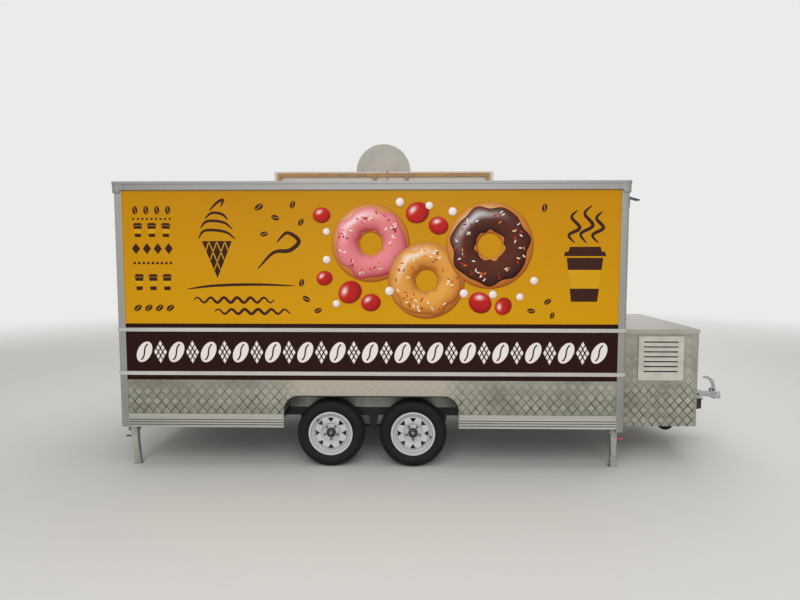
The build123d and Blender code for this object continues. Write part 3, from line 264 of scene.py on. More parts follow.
def rimEnamel():
    # Stoved white enamel, brake dust round the hub; inside the wheel, seen through the holes and in the well, near
    # black for painted shade and grime
    w = wheelPaint
    material, tree, shader, place = startMaterial("rimEnamel", w["white"], 0.32)
    shader.inputs["Specular IOR Level"].default_value = 0.2  # dulled by brake dust
    split = addNode(tree, "ShaderNodeSeparateXYZ", {"Vector": place}).node
    middle = (w["axles"][0] + w["axles"][1]) / 2
    across = addNode(tree, "ShaderNodeMath", {0: split.outputs["X"], 1: middle}, operation="SUBTRACT")
    across = addNode(tree, "ShaderNodeMath", {0: across}, operation="ABSOLUTE")
    across = addNode(tree, "ShaderNodeMath", {0: across, 1: (w["axles"][1] - w["axles"][0]) / 2},
                     operation="SUBTRACT")
    up = addNode(tree, "ShaderNodeMath", {0: split.outputs["Z"], 1: w["height"]}, operation="SUBTRACT")
    flat = addNode(tree, "ShaderNodeCombineXYZ", {"X": across, "Y": up})
    radius = addNode(tree, "ShaderNodeVectorMath", {0: flat}, out="Value", operation="LENGTH")
    outward = addNode(tree, "ShaderNodeMath", {0: split.outputs["Y"]}, operation="ABSOLUTE")
    outward = addNode(tree, "ShaderNodeMath", {0: outward, 1: w["wheelY"]}, operation="SUBTRACT")
    # The disc rises from the hub to a crown and falls to the rim: what lies under that line is inside the wheel
    face = w["hubFace"]
    for start, end, rise in w["discLine"]:
        part = addNode(tree, "ShaderNodeMapRange", {"Value": radius, "From Min": start, "From Max": end,
                                                    "To Max": rise})
        face = addNode(tree, "ShaderNodeMath", {0: face, 1: part}, operation="ADD")
    # Behind the disc's face and under the hub the enamel is painted near black: painted shade inside the wheel, partly
    # grime
    behind = addNode(tree, "ShaderNodeMath", {0: outward, 1: face}, operation="LESS_THAN")
    near = addNode(tree, "ShaderNodeMath", {0: radius, 1: 0.170}, operation="LESS_THAN")
    drum = addNode(tree, "ShaderNodeMath", {0: behind, 1: near}, operation="MULTIPLY")
    hub = addNode(tree, "ShaderNodeMath", {0: radius, 1: 0.0345}, operation="LESS_THAN")
    drum = addNode(tree, "ShaderNodeMath", {0: drum, 1: hub}, operation="MAXIMUM")
    smear = addNode(tree, "ShaderNodeTexNoise", {"Vector": place, "Scale": 17.0, "Detail": 7.0,
                                                 "Roughness": 0.72})
    ring = addNode(tree, "ShaderNodeMapRange", {"Value": radius, "From Min": 0.055, "From Max": 0.10,
                                                "To Min": 0.75, "To Max": 0.12})
    dust = addNode(tree, "ShaderNodeMapRange", {"Value": smear, "From Min": 0.45, "From Max": 0.78})
    dust = addNode(tree, "ShaderNodeMath", {0: dust, 1: ring}, operation="MULTIPLY")
    tone = addNode(tree, "ShaderNodeMix", {0: dust, 6: w["white"], 7: w["dust"]}, out=2, data_type="RGBA")
    tone = addNode(tree, "ShaderNodeMix", {0: drum, 6: tone, 7: w["drum"]}, out=2, data_type="RGBA")
    tree.links.new(tone, shader.inputs["Base Color"])
    rough = addNode(tree, "ShaderNodeMapRange", {"Value": smear, "To Min": 0.24, "To Max": 0.5})
    tree.links.new(rough, shader.inputs["Roughness"])
    return material


def wheelRubber():  # carbon-black rubber: smooth dull sidewall, dry dust on the tread
    material, tree, shader, place = startMaterial("wheelRubber", "#100F0F", 0.72)
    shader.inputs["Specular IOR Level"].default_value = 0.3
    dust = addNode(tree, "ShaderNodeTexNoise", {"Vector": place, "Scale": 14.0, "Detail": 7.0, "Roughness": 0.7})
    tone = addNode(tree, "ShaderNodeValToRGB", {"Fac": dust}, ramp=[(0.35, "#0A0909"), (0.62, "#100E0D"),
                                                                    (0.85, "#231F1C")])
    tree.links.new(tone, shader.inputs["Base Color"])
    grain = addNode(tree, "ShaderNodeTexNoise", {"Vector": place, "Scale": 420.0})
    normal = addNode(tree, "ShaderNodeBump", {"Height": grain, "Distance": 0.0003})
    tree.links.new(normal, shader.inputs["Normal"])
    return material


lampLens = {"amberFrom": 0.7455, "bar": 0.0022, "clearTo": 0.655, "depth": 0.022}


def redLens():
    # Moulded acrylic lamp with fine ribs: amber segment on top, clear at the foot, red between, black base at the wall
    w = lampLens
    material, tree, shader, place = startMaterial("redLens", "#8E0C10", 0.16)
    split = addNode(tree, "ShaderNodeSeparateXYZ", {"Vector": place}).node
    amber = addNode(tree, "ShaderNodeMath", {0: split.outputs["Z"], 1: w["amberFrom"]}, operation="GREATER_THAN")
    colour = addNode(tree, "ShaderNodeMix", {0: amber, 6: "#8E0C10", 7: "#C8660F"}, out=2, data_type="RGBA")
    clear = addNode(tree, "ShaderNodeMath", {0: split.outputs["Z"], 1: w["clearTo"]}, operation="LESS_THAN")
    colour = addNode(tree, "ShaderNodeMix", {0: clear, 6: colour, 7: "#C9CBC9"}, out=2, data_type="RGBA")
    for level in (w["amberFrom"], w["clearTo"]):
        off = addNode(tree, "ShaderNodeMath", {0: split.outputs["Z"], 1: level}, operation="SUBTRACT")
        off = addNode(tree, "ShaderNodeMath", {0: off}, operation="ABSOLUTE")
        bar = addNode(tree, "ShaderNodeMath", {0: off, 1: w["bar"]}, operation="LESS_THAN")
        colour = addNode(tree, "ShaderNodeMix", {0: bar, 6: colour, 7: "#161616"}, out=2, data_type="RGBA")
    base = addNode(tree, "ShaderNodeMath", {0: split.outputs["X"], 1: xRear + 0.006 - 0.030 + w["depth"]},
                   operation="GREATER_THAN")
    colour = addNode(tree, "ShaderNodeMix", {0: base, 6: colour, 7: "#161616"}, out=2, data_type="RGBA")
    tree.links.new(colour, shader.inputs["Base Color"])
    ribs = addNode(tree, "ShaderNodeTexWave", {"Vector": place, "Scale": 40.0}, bands_direction="Y")
    normal = addNode(tree, "ShaderNodeBump", {"Height": ribs, "Distance": 0.001})
    tree.links.new(normal, shader.inputs["Normal"])
    shader.inputs["Coat Weight"].default_value = 0.5
    return material


def paintedSign():
    # Powder-coated sheet: the box is a warm white, the disc that stands above it a beige grey
    material = mottledMaterial("powderCoatedSheet", ["#A09A92", "#AAA49B", "#B2ACA4"], (0.42, 0.58), 0.25, bump=0.0002)
    tree, shader = material.node_tree, material.node_tree.nodes["Principled BSDF"]
    tone = shader.inputs["Base Color"].links[0].from_socket
    height = addNode(tree, "ShaderNodeSeparateXYZ", {"Vector": addNode(tree, "ShaderNodeTexCoord", out="Object")},
                     out="Z")
    box = addNode(tree, "ShaderNodeMath", {0: height, 1: 2.8585}, operation="LESS_THAN")
    tone = addNode(tree, "ShaderNodeMix", {0: box, 6: tone, 7: "#CDC4BC"}, out=2, data_type="RGBA")
    tree.links.new(tone, shader.inputs["Base Color"])
    return material


def anodisedSill():
    # Ribbed sill extrusion: satin anodised face, darker in the grooves, which lie under the face
    material = mottledMaterial("anodisedSill", ["#A5A49C", "#B2B1A9", "#BEBDB5"], (0.36, 0.5), 0.3, 0.3, 0.0003,
                               (0.08, 1, 1))
    tree, shader = material.node_tree, material.node_tree.nodes["Principled BSDF"]
    tone = shader.inputs["Base Color"].links[0].from_socket
    split = addNode(tree, "ShaderNodeSeparateXYZ", {"Vector": addNode(tree, "ShaderNodeTexCoord", out="Object")}).node
    across = addNode(tree, "ShaderNodeMath", {0: split.outputs["Y"]}, operation="ABSOLUTE")
    across = addNode(tree, "ShaderNodeMath", {0: across, 1: ySide}, operation="SUBTRACT")
    along = addNode(tree, "ShaderNodeMath", {0: split.outputs["X"], 1: xMiddle}, operation="SUBTRACT")
    along = addNode(tree, "ShaderNodeMath", {0: along}, operation="ABSOLUTE")
    along = addNode(tree, "ShaderNodeMath", {0: along, 1: xFront - xMiddle}, operation="SUBTRACT")
    inside = addNode(tree, "ShaderNodeMath", {0: across, 1: along}, operation="MAXIMUM")
    groove = addNode(tree, "ShaderNodeMath", {0: inside, 1: -0.0016}, operation="LESS_THAN")
    tone = addNode(tree, "ShaderNodeMix", {0: groove, 6: tone, 7: "#45433D"}, out=2, data_type="RGBA")
    tree.links.new(tone, shader.inputs["Base Color"])
    return material


def cornerPosts():
    # Anodised aluminium with long vertical streaks. Painted light and shade: the rear pair is painted lighter from 0.65
    # m upwards and stays darker low down
    material = mottledMaterial("anodisedPost", ["#878580", "#96948F", "#A19F9A"], (0.4, 0.55), 0.3, 0.35, 0.0003,
                               (1, 1, 0.08))
    tree, shader = material.node_tree, material.node_tree.nodes["Principled BSDF"]
    tone = shader.inputs["Base Color"].links[0].from_socket
    split = addNode(tree, "ShaderNodeSeparateXYZ", {"Vector": addNode(tree, "ShaderNodeTexCoord", out="Object")}).node
    rear = addNode(tree, "ShaderNodeMath", {0: split.outputs["X"], 1: xMiddle}, operation="LESS_THAN")
    rearPostLight = addNode(tree, "ShaderNodeMapRange", {"Value": split.outputs["Z"], "From Min": 0.65, "From Max": 0.95,
                                                 "To Min": 0.0, "To Max": 0.27})
    rear = addNode(tree, "ShaderNodeMath", {0: rear, 1: rearPostLight}, operation="MULTIPLY")
    # Painted light on the upper part of the rear pair
    tone = addNode(tree, "ShaderNodeMix", {0: rear, 6: tone, 7: "#BDBBB6"}, out=2, data_type="RGBA")
    tree.links.new(tone, shader.inputs["Base Color"])
    return material


def archLiner():
    # Zinc-coated sheet round the wheels: dull grey, painted near black above each tyre, towards both ends and below
    # 0.478 m. This is painted shade in the arch, partly road dirt above the tyres
    material = mottledMaterial("zincCoatedSheet", ["#8A8880", "#A09E95", "#B0AEA5"], (0.45, 0.65), 0.3, 0.2, 0.0004)
    tree, shader = material.node_tree, material.node_tree.nodes["Principled BSDF"]
    tone = shader.inputs["Base Color"].links[0].from_socket
    place = addNode(tree, "ShaderNodeTexCoord", out="Object")
    split = addNode(tree, "ShaderNodeSeparateXYZ", {"Vector": place}).node
    rear, front = wheelPaint["axles"]
    off = addNode(tree, "ShaderNodeMath", {0: split.outputs["X"], 1: (rear + front) / 2}, operation="SUBTRACT")
    off = addNode(tree, "ShaderNodeMath", {0: off}, operation="ABSOLUTE")
    ends = addNode(tree, "ShaderNodeMapRange", {"Value": off, "From Min": 0.60, "From Max": 0.72})
    off = addNode(tree, "ShaderNodeMath", {0: off, 1: (front - rear) / 2}, operation="SUBTRACT")
    off = addNode(tree, "ShaderNodeMath", {0: off}, operation="ABSOLUTE")
    cloud = addNode(tree, "ShaderNodeTexNoise", {"Vector": place, "Scale": 9.0, "Detail": 5.0})
    off = addNode(tree, "ShaderNodeMath", {0: cloud, 1: 0.10, 2: off}, operation="MULTIPLY_ADD")
    # Painted shade, partly road dirt: near black above each tyre
    above = addNode(tree, "ShaderNodeMapRange", {"Value": off, "From Min": 0.12, "From Max": 0.26, "To Min": 1.0,
                                                 "To Max": 0.0})
    # Painted shade: below 0.478 m the sheet is painted black
    low = addNode(tree, "ShaderNodeMath", {0: split.outputs["Z"], 1: 0.478}, operation="LESS_THAN")
    dirtAndShade = addNode(tree, "ShaderNodeMath", {0: above, 1: 0.92}, operation="MULTIPLY")
    dirtAndShade = addNode(tree, "ShaderNodeMath", {0: dirtAndShade, 1: low}, operation="MAXIMUM")
    # Painted shade towards both ends of the arch
    ends = addNode(tree, "ShaderNodeMath", {0: ends, 1: 0.55}, operation="MULTIPLY")
    dirtAndShade = addNode(tree, "ShaderNodeMath", {0: dirtAndShade, 1: ends}, operation="MAXIMUM")
    tone = addNode(tree, "ShaderNodeMix", {0: dirtAndShade, 6: tone, 7: "#0F0E0D"}, out=2, data_type="RGBA")
    tree.links.new(tone, shader.inputs["Base Color"])
    return material


finish = {
    "galvanised": galvanisedSteel(),
    "anodised": cornerPosts(),
    "trimMetal": mottledMaterial("anodisedTrim", ["#807F7D", "#8D8C8A", "#989795"], (0.36, 0.5), 0.3, 0.3, 0.0003,
                                 (0.08, 1, 1)),
    "sillMetal": anodisedSill(),
    "lidMetal": boxLid(),
    "tread": treadPlate(),
    "wall": printedWall(),
    "ink": printInk(),
    "bandWhite": mottledMaterial("mouldedBand", ["#B0AEA8", "#BDBBB5", "#C5C3BD"], (0.38, 0.55), 0.18,
                                 stretch=(0.3, 1, 1)),
    "louvreWhite": mottledMaterial("mouldedLouvre", ["#BAB7AC", "#C4C1B7", "#CCC9BF"], (0.4, 0.55), 0.12),
    "roofWhite": mottledMaterial("roofSheet", ["#C0C0BA", "#C9C9C4", "#D0D0CB"], (0.4, 0.6), 0.8, bump=0.0003),
    "rim": rimEnamel(),
    "rubber": wheelRubber(),
    # Chassis and running gear in near black: black paint, darkened further as painted shade under the body
    "blackSteel": mottledMaterial("blackPaintAndUnderbodyShade", ["#0A0A0A", "#111010", "#201812"], (0.45, 0.75), 0.06,
                                  bump=0.0003),
    "darkSteel": mottledMaterial("oiledSteel", ["#242424", "#343331", "#4A4540"], (0.4, 0.65), 0.03, 0.6, 0.0002),
    "zinc": mottledMaterial("brightZinc", ["#8F9294", "#B4B6B8", "#C2C4C6"], (0.22, 0.42), 0.02, 0.85),
    "capSteel": mottledMaterial("pressedCapSteel", ["#4A4B4A", "#6C6E6D", "#868887"], (0.28, 0.5), 0.02, 0.7),
    "stainless": mottledMaterial("brushedStainless", ["#9A9C9D", "#A5A7A8", "#AFB1B2"], (0.28, 0.36), 0.006, 0.9,
                                 stretch=(0.012, 1, 1)),
    "floorPly": mottledMaterial("coatedPlywood", ["#4B3B2C", "#5B4936", "#6A563F"], (0.5, 0.7), 0.08, bump=0.0006),
    "archSheet": archLiner(),
    "goldPaint": mottledMaterial("goldTubePaint", ["#7A520E", "#916614", "#A2751A"], (0.35, 0.5), 0.15, coat=0.2),
    "signSheet": paintedSign(),
    "redLens": redLens(),
    "bluePlastic": mottledMaterial("blueInletPlastic", ["#10183A", "#161F49", "#1D2757"], (0.35, 0.5), 0.03),
    "blackRubber": mottledMaterial("extrudedRubber", ["#121212", "#1A1A19", "#242321"], (0.55, 0.75), 0.04,
                                   bump=0.0002),
    "blueGrip": mottledMaterial("blueVinylGrip", ["#3A3F7C", "#474C8E", "#55599B"], (0.4, 0.55), 0.01),
    "redGrip": mottledMaterial("redVinylGrip", ["#B02A4A", "#C23A5A", "#CC4A68"], (0.4, 0.55), 0.01),
}

nodeFinish = {
    "galvanised": ["jockey_tube", "jockey_fork", "leg_brackets", "leg_rear_near", "leg_rear_far",
                   "leg_front_near", "leg_front_far"],
    "blackSteel": ["main_rails", "cross_members", "drawbar_beams", "drawbar_plates", "spring_hangers",
                   "equalisers", "leaf_springs", "axles"],
    "zinc": ["coupling_lever", "coupling_head"],
    "rubber": ["tyre_rear_near", "tyre_rear_far", "tyre_front_near", "tyre_front_far", "jockey_wheel"],
    "rim": ["wheel_rear_near", "wheel_rear_far", "wheel_front_near", "wheel_front_far"],
    "floorPly": ["floor"],
    "wall": ["near_upper_panel", "far_upper_panel", "near_lower_panel", "far_lower_panel", "front_wall",
             "rear_wall", "entry_door", "serving_hatch"],
    "roofWhite": ["roof_panel"],
    "anodised": ["corner_posts"],
    "trimMetal": ["roof_trims"],
    "sillMetal": ["sills"],
    "stainless": ["counter_shelf"],
    "tread": ["front_box"],
    "lidMetal": ["front_box_lid"],
    "louvreWhite": ["box_louvres"],
    "bandWhite": ["side_bands"],
    "archSheet": ["wheel_boxes"],
    "goldPaint": ["sign_frame"],
    "signSheet": ["sign_board"],
    "redLens": ["tail_lamps"],
    "bluePlastic": ["power_inlet"],
}
for name, nodes in nodeFinish.items():
    for node in nodes:
        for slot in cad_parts[node].material_slots:
            slot.material = finish[name]
print("materials:", len(finish))


# Mesh tools

def gridFaces(rows, columns, wrapRows=False, wrapColumns=False):  # quads between neighbouring points of a grid
    i, j = np.meshgrid(np.arange(rows - (not wrapRows)), np.arange(columns - (not wrapColumns)), indexing="ij")
    nextI, nextJ = (i + 1) % rows, (j + 1) % columns
    corners = (i * columns + j, nextI * columns + j, nextI * columns + nextJ, i * columns + nextJ)
    return np.stack(corners, -1).reshape(-1, 4).tolist()


def addPiece(name, points, faces, look, slot, body="trailer", smooth=35, closed=True, ink=None):
    mesh = bpy.data.meshes.new(name)
    mesh.from_pydata(np.asarray(points, float).reshape(-1, 3).tolist(), [], faces)
    if ink is not None:
        layer = mesh.color_attributes.new("ink", "FLOAT_COLOR", "POINT")
        layer.data.foreach_set("color", np.asarray(ink, float).reshape(-1))
    if closed:
        edit = bmesh.new()
        edit.from_mesh(mesh)
        bmesh.ops.remove_doubles(edit, verts=edit.verts, dist=1e-6)
        bmesh.ops.recalc_face_normals(edit, faces=edit.faces)
        edit.to_mesh(mesh)
        edit.free()
    mesh.polygons.foreach_set("use_smooth", [True] * len(mesh.polygons))
    mesh.set_sharp_from_angle(angle=radians(smooth))
    mesh.materials.append(finish[look])
    piece = bpy.data.objects.new(name, mesh)
    bpy.context.scene.collection.objects.link(piece)
    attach(piece, body)
    return piece


def turned(profile, centre, axis="Y", steps=48, closed=False):
    # A profile of (radius, distance along the axis) turned about the axis: rows are angles, columns the profile
    profile = np.asarray(profile, float)
    angle = np.arange(steps) * tau / steps
    r, s = profile[None, :, 0], profile[None, :, 1] + 0 * angle[:, None]
    a, b = r * np.cos(angle)[:, None], r * np.sin(angle)[:, None]
    order = {"X": (s, a, b), "Y": (b, s, a), "Z": (a, b, s)}[axis]
    points = np.stack(order, -1) + np.asarray(centre, float)
    return points.reshape(-1, 3), gridFaces(steps, len(profile), True, closed)


def carried(path, profile, side, closed=False, caps=True):
    # A profile of (outward, sideways) carried along a path, mitred at its corners: side is across the path's plane
    path, profile = np.asarray(path, float), np.asarray(profile, float)
    side = np.broadcast_to(np.asarray(side, float), path.shape)
    steps = np.roll(path, -1, 0) - path
    steps /= np.linalg.norm(steps, axis=1, keepdims=True) + 1e-12
    if not closed:
        steps[-1] = steps[-2]
    before = np.roll(steps, 1, 0)
    if not closed:
        before[0] = steps[0]
    first, second = np.cross(before, side), np.cross(steps, side)
    out = (first + second) / (1 + np.sum(first * second, 1, keepdims=True))
    points = path[:, None] + profile[None, :, :1] * out[:, None] + profile[None, :, 1:] * side[:, None]
    rows, columns = len(path), len(profile)
    faces = gridFaces(rows, columns, closed, True)
    if caps and not closed:
        faces += [list(range(columns)), list(range((rows - 1) * columns, rows * columns))]
    return points.reshape(-1, 3), faces


def stamped(shape, faces, places, turns=None):  # one small shape repeated at each place, turned by its own matrix
    shape, places = np.asarray(shape, float), np.asarray(places, float).reshape(-1, 3)
    if turns is None:
        turns = np.broadcast_to(np.eye(3), (len(places), 3, 3))
    points = np.einsum("kij,nj->kni", turns, shape) + places[:, None]
    copies = [[v + k * len(shape) for v in face] for k in range(len(places)) for face in faces]
    return points.reshape(-1, 3), copies


def boxShape(low, high):  # eight corners and six faces of a block
    low, high = np.asarray(low, float), np.asarray(high, float)
    bits = np.array([[i, j, k] for i in (0, 1) for j in (0, 1) for k in (0, 1)])
    faces = [[0, 1, 3, 2], [4, 6, 7, 5], [0, 4, 5, 1], [2, 3, 7, 6], [0, 2, 6, 4], [1, 5, 7, 3]]
    return low + bits * (high - low), faces


def joined(*pieces):  # several (points, faces) as one
    points, faces, start = [], [], 0
    for some, quads in pieces:
        points.append(np.asarray(some, float).reshape(-1, 3))
        faces += [[v + start for v in quad] for quad in quads]
        start += len(points[-1])
    return np.concatenate(points), faces


def domeShape(radius, height, sides, rings=3):  # rivet or screw head on its own base, along +Z
    tilt = np.linspace(0, pi / 2, rings + 1)[:-1]
    turn = np.arange(sides) * tau / sides
    rows = [np.stack([radius * np.cos(t) * np.cos(turn), radius * np.cos(t) * np.sin(turn),
                      np.full(sides, height * np.sin(t))], -1) for t in tilt]
    points = np.concatenate([*rows, [[0, 0, height]]])
    faces = gridFaces(len(rows), sides, False, True)
    last = (len(rows) - 1) * sides
    faces += [[last + k, last + (k + 1) % sides, len(points) - 1] for k in range(sides)]
    return points, faces + [list(range(sides))]


towards = {  # turns +Z of a small shape to the named direction
    "-Y": np.array([[1, 0, 0], [0, 0, -1], [0, 1, 0]], float),
    "+Y": np.array([[-1, 0, 0], [0, 0, 1], [0, 1, 0]], float),
    "+X": np.array([[0, 0, 1], [1, 0, 0], [0, 1, 0]], float),
    "-X": np.array([[0, 0, -1], [-1, 0, 0], [0, 1, 0]], float),
    "+Z": np.eye(3),
    "-Z": np.diag([1.0, -1, -1]),
}


def headRow(shape, places, way):
    return stamped(*shape, places, np.broadcast_to(towards[way], (len(places), 3, 3)))


# Tyres

tyre = {"radius": 0.300, "half": 0.090, "seat": 0.1785, "groove": 0.007, "grooveAt": (-0.036, -0.012, 0.012, 0.036),
        "grooveHalf": 0.0036, "pitches": 64, "steps": 256, "shoulder": 0.052}


def tyreSurface(t):
    # Radius and width follow one closed profile; on the tread the radius drops in rings and in slanting cuts
    crown = np.linspace(-t["shoulder"], t["shoulder"], 43)
    side = np.array([(0.1785, 0.056), (0.186, 0.064), (0.1905, 0.0705), (0.198, 0.0745), (0.206, 0.0778),
                     (0.2065, 0.0792), (0.214, 0.0826), (0.2146, 0.0818), (0.228, 0.0878), (0.2405, 0.0900),
                     (0.2545, 0.0893), (0.2555, 0.0882), (0.268, 0.0842), (0.279, 0.0768), (0.288, 0.0702),
                     (0.2935, 0.0628), (0.2965, 0.057)])
    crownRadius = t["radius"] - 0.0035 * (crown / t["shoulder"]) ** 2
    section = np.concatenate([side * (1, -1), np.stack([crownRadius, crown], -1), side[::-1]])
    inner = np.stack([np.full(7, t["seat"]), np.linspace(0.05, -0.05, 7)], -1)
    section = np.concatenate([section, inner])
    angle = np.arange(t["steps"]) * tau / t["steps"]
    r = np.broadcast_to(section[:, 0], (t["steps"], len(section))).copy()
    s = np.broadcast_to(section[:, 1], r.shape)
    onTread = (section[:, 0] > 0.289)
    ring = np.min([np.abs(s - g) for g in t["grooveAt"]], 0)
    depth = t["groove"] * np.clip(1.6 - ring / t["grooveHalf"], 0, 1) * (np.abs(s) < t["shoulder"])
    wave = (angle[:, None] * t["pitches"] / tau + np.sign(s) * s * 14.0) % 1
    blocks = np.where(np.abs(s) > 0.040, wave < 0.3, (wave < 0.16) & (np.abs(s) > 0.016))
    depth = np.maximum(depth, 0.0052 * blocks * onTread)
    r = r - depth
    points = np.stack([r * np.sin(angle)[:, None], s, r * np.cos(angle)[:, None]], -1)
    return points.reshape(-1, 3), gridFaces(t["steps"], len(section), True, True)


wheels = {}
for end, x in zip(("rear", "front"), wheelPaint["axles"]):
    for side, sign in (("near", -1), ("far", 1)):
        wheels[f"{end}_{side}"] = (np.array([x, sign * wheelPaint["wheelY"], 0.300]), sign)

tyrePoints, tyreFaces = tyreSurface(tyre)
for place, (centre, sign) in wheels.items():
    rubber = addPiece(f"tyreCover_{place}", tyrePoints * (1, sign, 1) + centre, tyreFaces, "rubber", "tyre_rubber",
                      f"wheel_{place}", 40)
    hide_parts(f"tyre_{place}")
print("tyres done")


# Wheel fittings: hub collar, grease cap, nuts and valve

fitting = {"collar": (0.0325, 0.0415, 0.029, 0.046), "nutCircle": 0.060, "nutRadius": 0.0118, "nutFoot": 0.029,
           "nutTop": 0.0435, "valveCircle": 0.160, "valveFoot": 0.050, "valveReach": 0.036, "valveRadius": 0.0052}
valveTurn = {"rear_near": 134, "front_near": -11, "rear_far": 40, "front_far": 215}


def wheelParts(f):
    inner, outer, foot, top = f["collar"]
    collar = turned([(inner, foot), (outer, foot), (outer, top - 0.003), (outer - 0.003, top), (inner, top)],
                    (0, 0, 0), closed=True)
    cap = [(0.0002, 0.0705), (0.010, 0.0700), (0.018, 0.0680), (0.0235, 0.0640), (0.0257, 0.0580),
           (0.0257, 0.0500), (0.0290, 0.0485), (0.0290, 0.0430), (0.0002, 0.0430)]
    hexagon = np.arange(6) * tau / 6
    levels = ((1.0, f["nutFoot"]), (1.0, f["nutTop"] - 0.002), (0.84, f["nutTop"]), (0.5, f["nutTop"]),
              (0.5, f["nutTop"] + 0.006), (0.4, f["nutTop"] + 0.007))
    nut = np.stack([np.stack([f["nutRadius"] * k * np.sin(hexagon), np.full(6, level),
                              f["nutRadius"] * k * np.cos(hexagon)], -1) for k, level in levels])
    nutFaces = gridFaces(len(levels), 6, False, True) + [list(range(6)), list(range(30, 36))]
    at = radians(90) + np.arange(5) * tau / 5
    seats = np.stack([f["nutCircle"] * np.cos(at), 0 * at, -f["nutCircle"] * np.sin(at)], -1)
    nuts = stamped(nut.reshape(-1, 3), nutFaces, seats)
    return collar, turned(cap, (0, 0, 0), closed=True), nuts


for place, (centre, sign) in wheels.items():
    collar, cap, nuts = wheelParts(fitting)
    for name, (points, faces), look in (("hubCollar", collar, "darkSteel"), ("greaseCap", cap, "capSteel"),
                                        ("wheelNuts", nuts, "darkSteel")):
        addPiece(f"{name}_{place}", points * (1, sign, 1) + centre, faces, look, "white_rim", f"wheel_{place}", 30)
    r, turn = fitting["valveRadius"], radians(valveTurn[place])
    low, high = fitting["valveFoot"], fitting["valveFoot"] + fitting["valveReach"]
    points, faces = turned([(0.0001, low), (r * 1.5, low), (r * 1.4, low + 0.006), (r, low + 0.010),
                            (r, high - 0.010), (r * 1.15, high - 0.009), (r * 1.15, high), (0.0001, high)],
                           (0, 0, 0), steps=14, closed=True)
    points = points + (fitting["valveCircle"] * np.cos(turn), 0, fitting["valveCircle"] * np.sin(turn))
    addPiece(f"tyreValve_{place}", points * (1, sign, 1) + centre, faces, "blackRubber", "tyre_rubber",
             f"wheel_{place}")
print("wheel fittings done")


# Tread plate: five-bar groups that alternate between two diagonals, each bar a low ridge with pointed ends

treadPattern = {"length": 0.050, "width": 0.0074, "height": 0.0015, "bars": 5, "spread": 0.0102}
planes = {  # axes of a face: along, up, outwards
    "near": ((1, 0, 0), (0, 0, 1), (0, -1, 0)),
    "far": ((-1, 0, 0), (0, 0, 1), (0, 1, 0)),
    "front": ((0, 1, 0), (0, 0, 1), (1, 0, 0)),
    "rear": ((0, -1, 0), (0, 0, 1), (-1, 0, 0)),
}


def barShape(t):
    long, half, high = t["length"] / 2, t["width"] / 2, t["height"]
    points = [(-long, 0, 0), (-long * 0.6, -half, 0), (long * 0.6, -half, 0), (long, 0, 0), (long * 0.6, half, 0),
              (-long * 0.6, half, 0), (-long * 0.66, 0, high), (long * 0.66, 0, high)]
    faces = [[1, 2, 7, 6], [4, 5, 6, 7], [0, 1, 6], [0, 6, 5], [3, 7, 2], [3, 4, 7], [5, 4, 3, 2, 1, 0]]
    return np.array(points), faces


def treadBars(name, plane, depth, across, up, keep, look, slot, body="trailer"):
    # Group centres where (X+Y)/pitchX and Z/pitchZ are both whole, or both a half more; bars lie side by side
    # along one diagonal in the first, along the other in the second
    t = treadPattern
    along, upward, outward = (np.array(a, float) for a in planes[plane])
    centres, tilts = [], []
    lean = np.arctan2(plate["pitchZ"], plate["pitchX"])
    start = -depth * outward.sum() * along.sum()
    for shift, tilt in ((0.0, lean), (0.5, -lean)):
        first = np.floor((across[0] - start) / plate["pitchX"]) - 1
        u = np.arange(first, (across[1] - start) / plate["pitchX"] + 1) + shift
        v = np.arange(np.floor(up[0] / plate["pitchZ"]) - 1, up[1] / plate["pitchZ"] + 1) + shift
        k = (np.arange(t["bars"]) - (t["bars"] - 1) / 2) * t["spread"]
        u, v, k = np.meshgrid(start + u * plate["pitchX"], v * plate["pitchZ"], k, indexing="ij")
        centres.append(np.stack([u - k * np.sin(tilt), v + k * np.cos(tilt)], -1).reshape(-1, 2))
        tilts.append(np.full(len(centres[-1]), tilt))
    centres, tilts = np.concatenate(centres), np.concatenate(tilts)
    reach = t["length"] / 2 * np.stack([np.cos(tilts), np.sin(tilts)], -1)
    good = np.ones(len(centres), bool)
    for share in (-1.0, 0.0, 1.0):
        u, v = (centres + share * reach).T
        good &= (u > across[0]) & (u < across[1]) & (v > up[0]) & (v < up[1]) & keep(u, v)
    centres, tilts = centres[good], tilts[good]
    first = np.cos(tilts)[:, None] * along + np.sin(tilts)[:, None] * upward
    second = -np.sin(tilts)[:, None] * along + np.cos(tilts)[:, None] * upward
    turns = np.stack([first, second, np.broadcast_to(outward, first.shape)], -1)
    places = centres[:, :1] * along + centres[:, 1:] * upward + depth * outward
    points, faces = stamped(*barShape(t), places, turns)
    return addPiece(name, points, faces, look, slot, body, 20)


arch = {"start": xRear + 1.449, "end": xRear + 2.983, "top": 0.650, "corner": 0.130, "margin": 0.012}


def outsideArch(x, z):
    a = arch
    top, corner = a["top"] + a["margin"], a["corner"] + a["margin"]
    dx = np.maximum(np.maximum(a["start"] + a["corner"] - x, x - a["end"] + a["corner"]), 0)
    dz = np.maximum(z - (top - corner), 0)
    return (dx > corner) | (dz > corner) | (np.hypot(dx, dz) > corner)


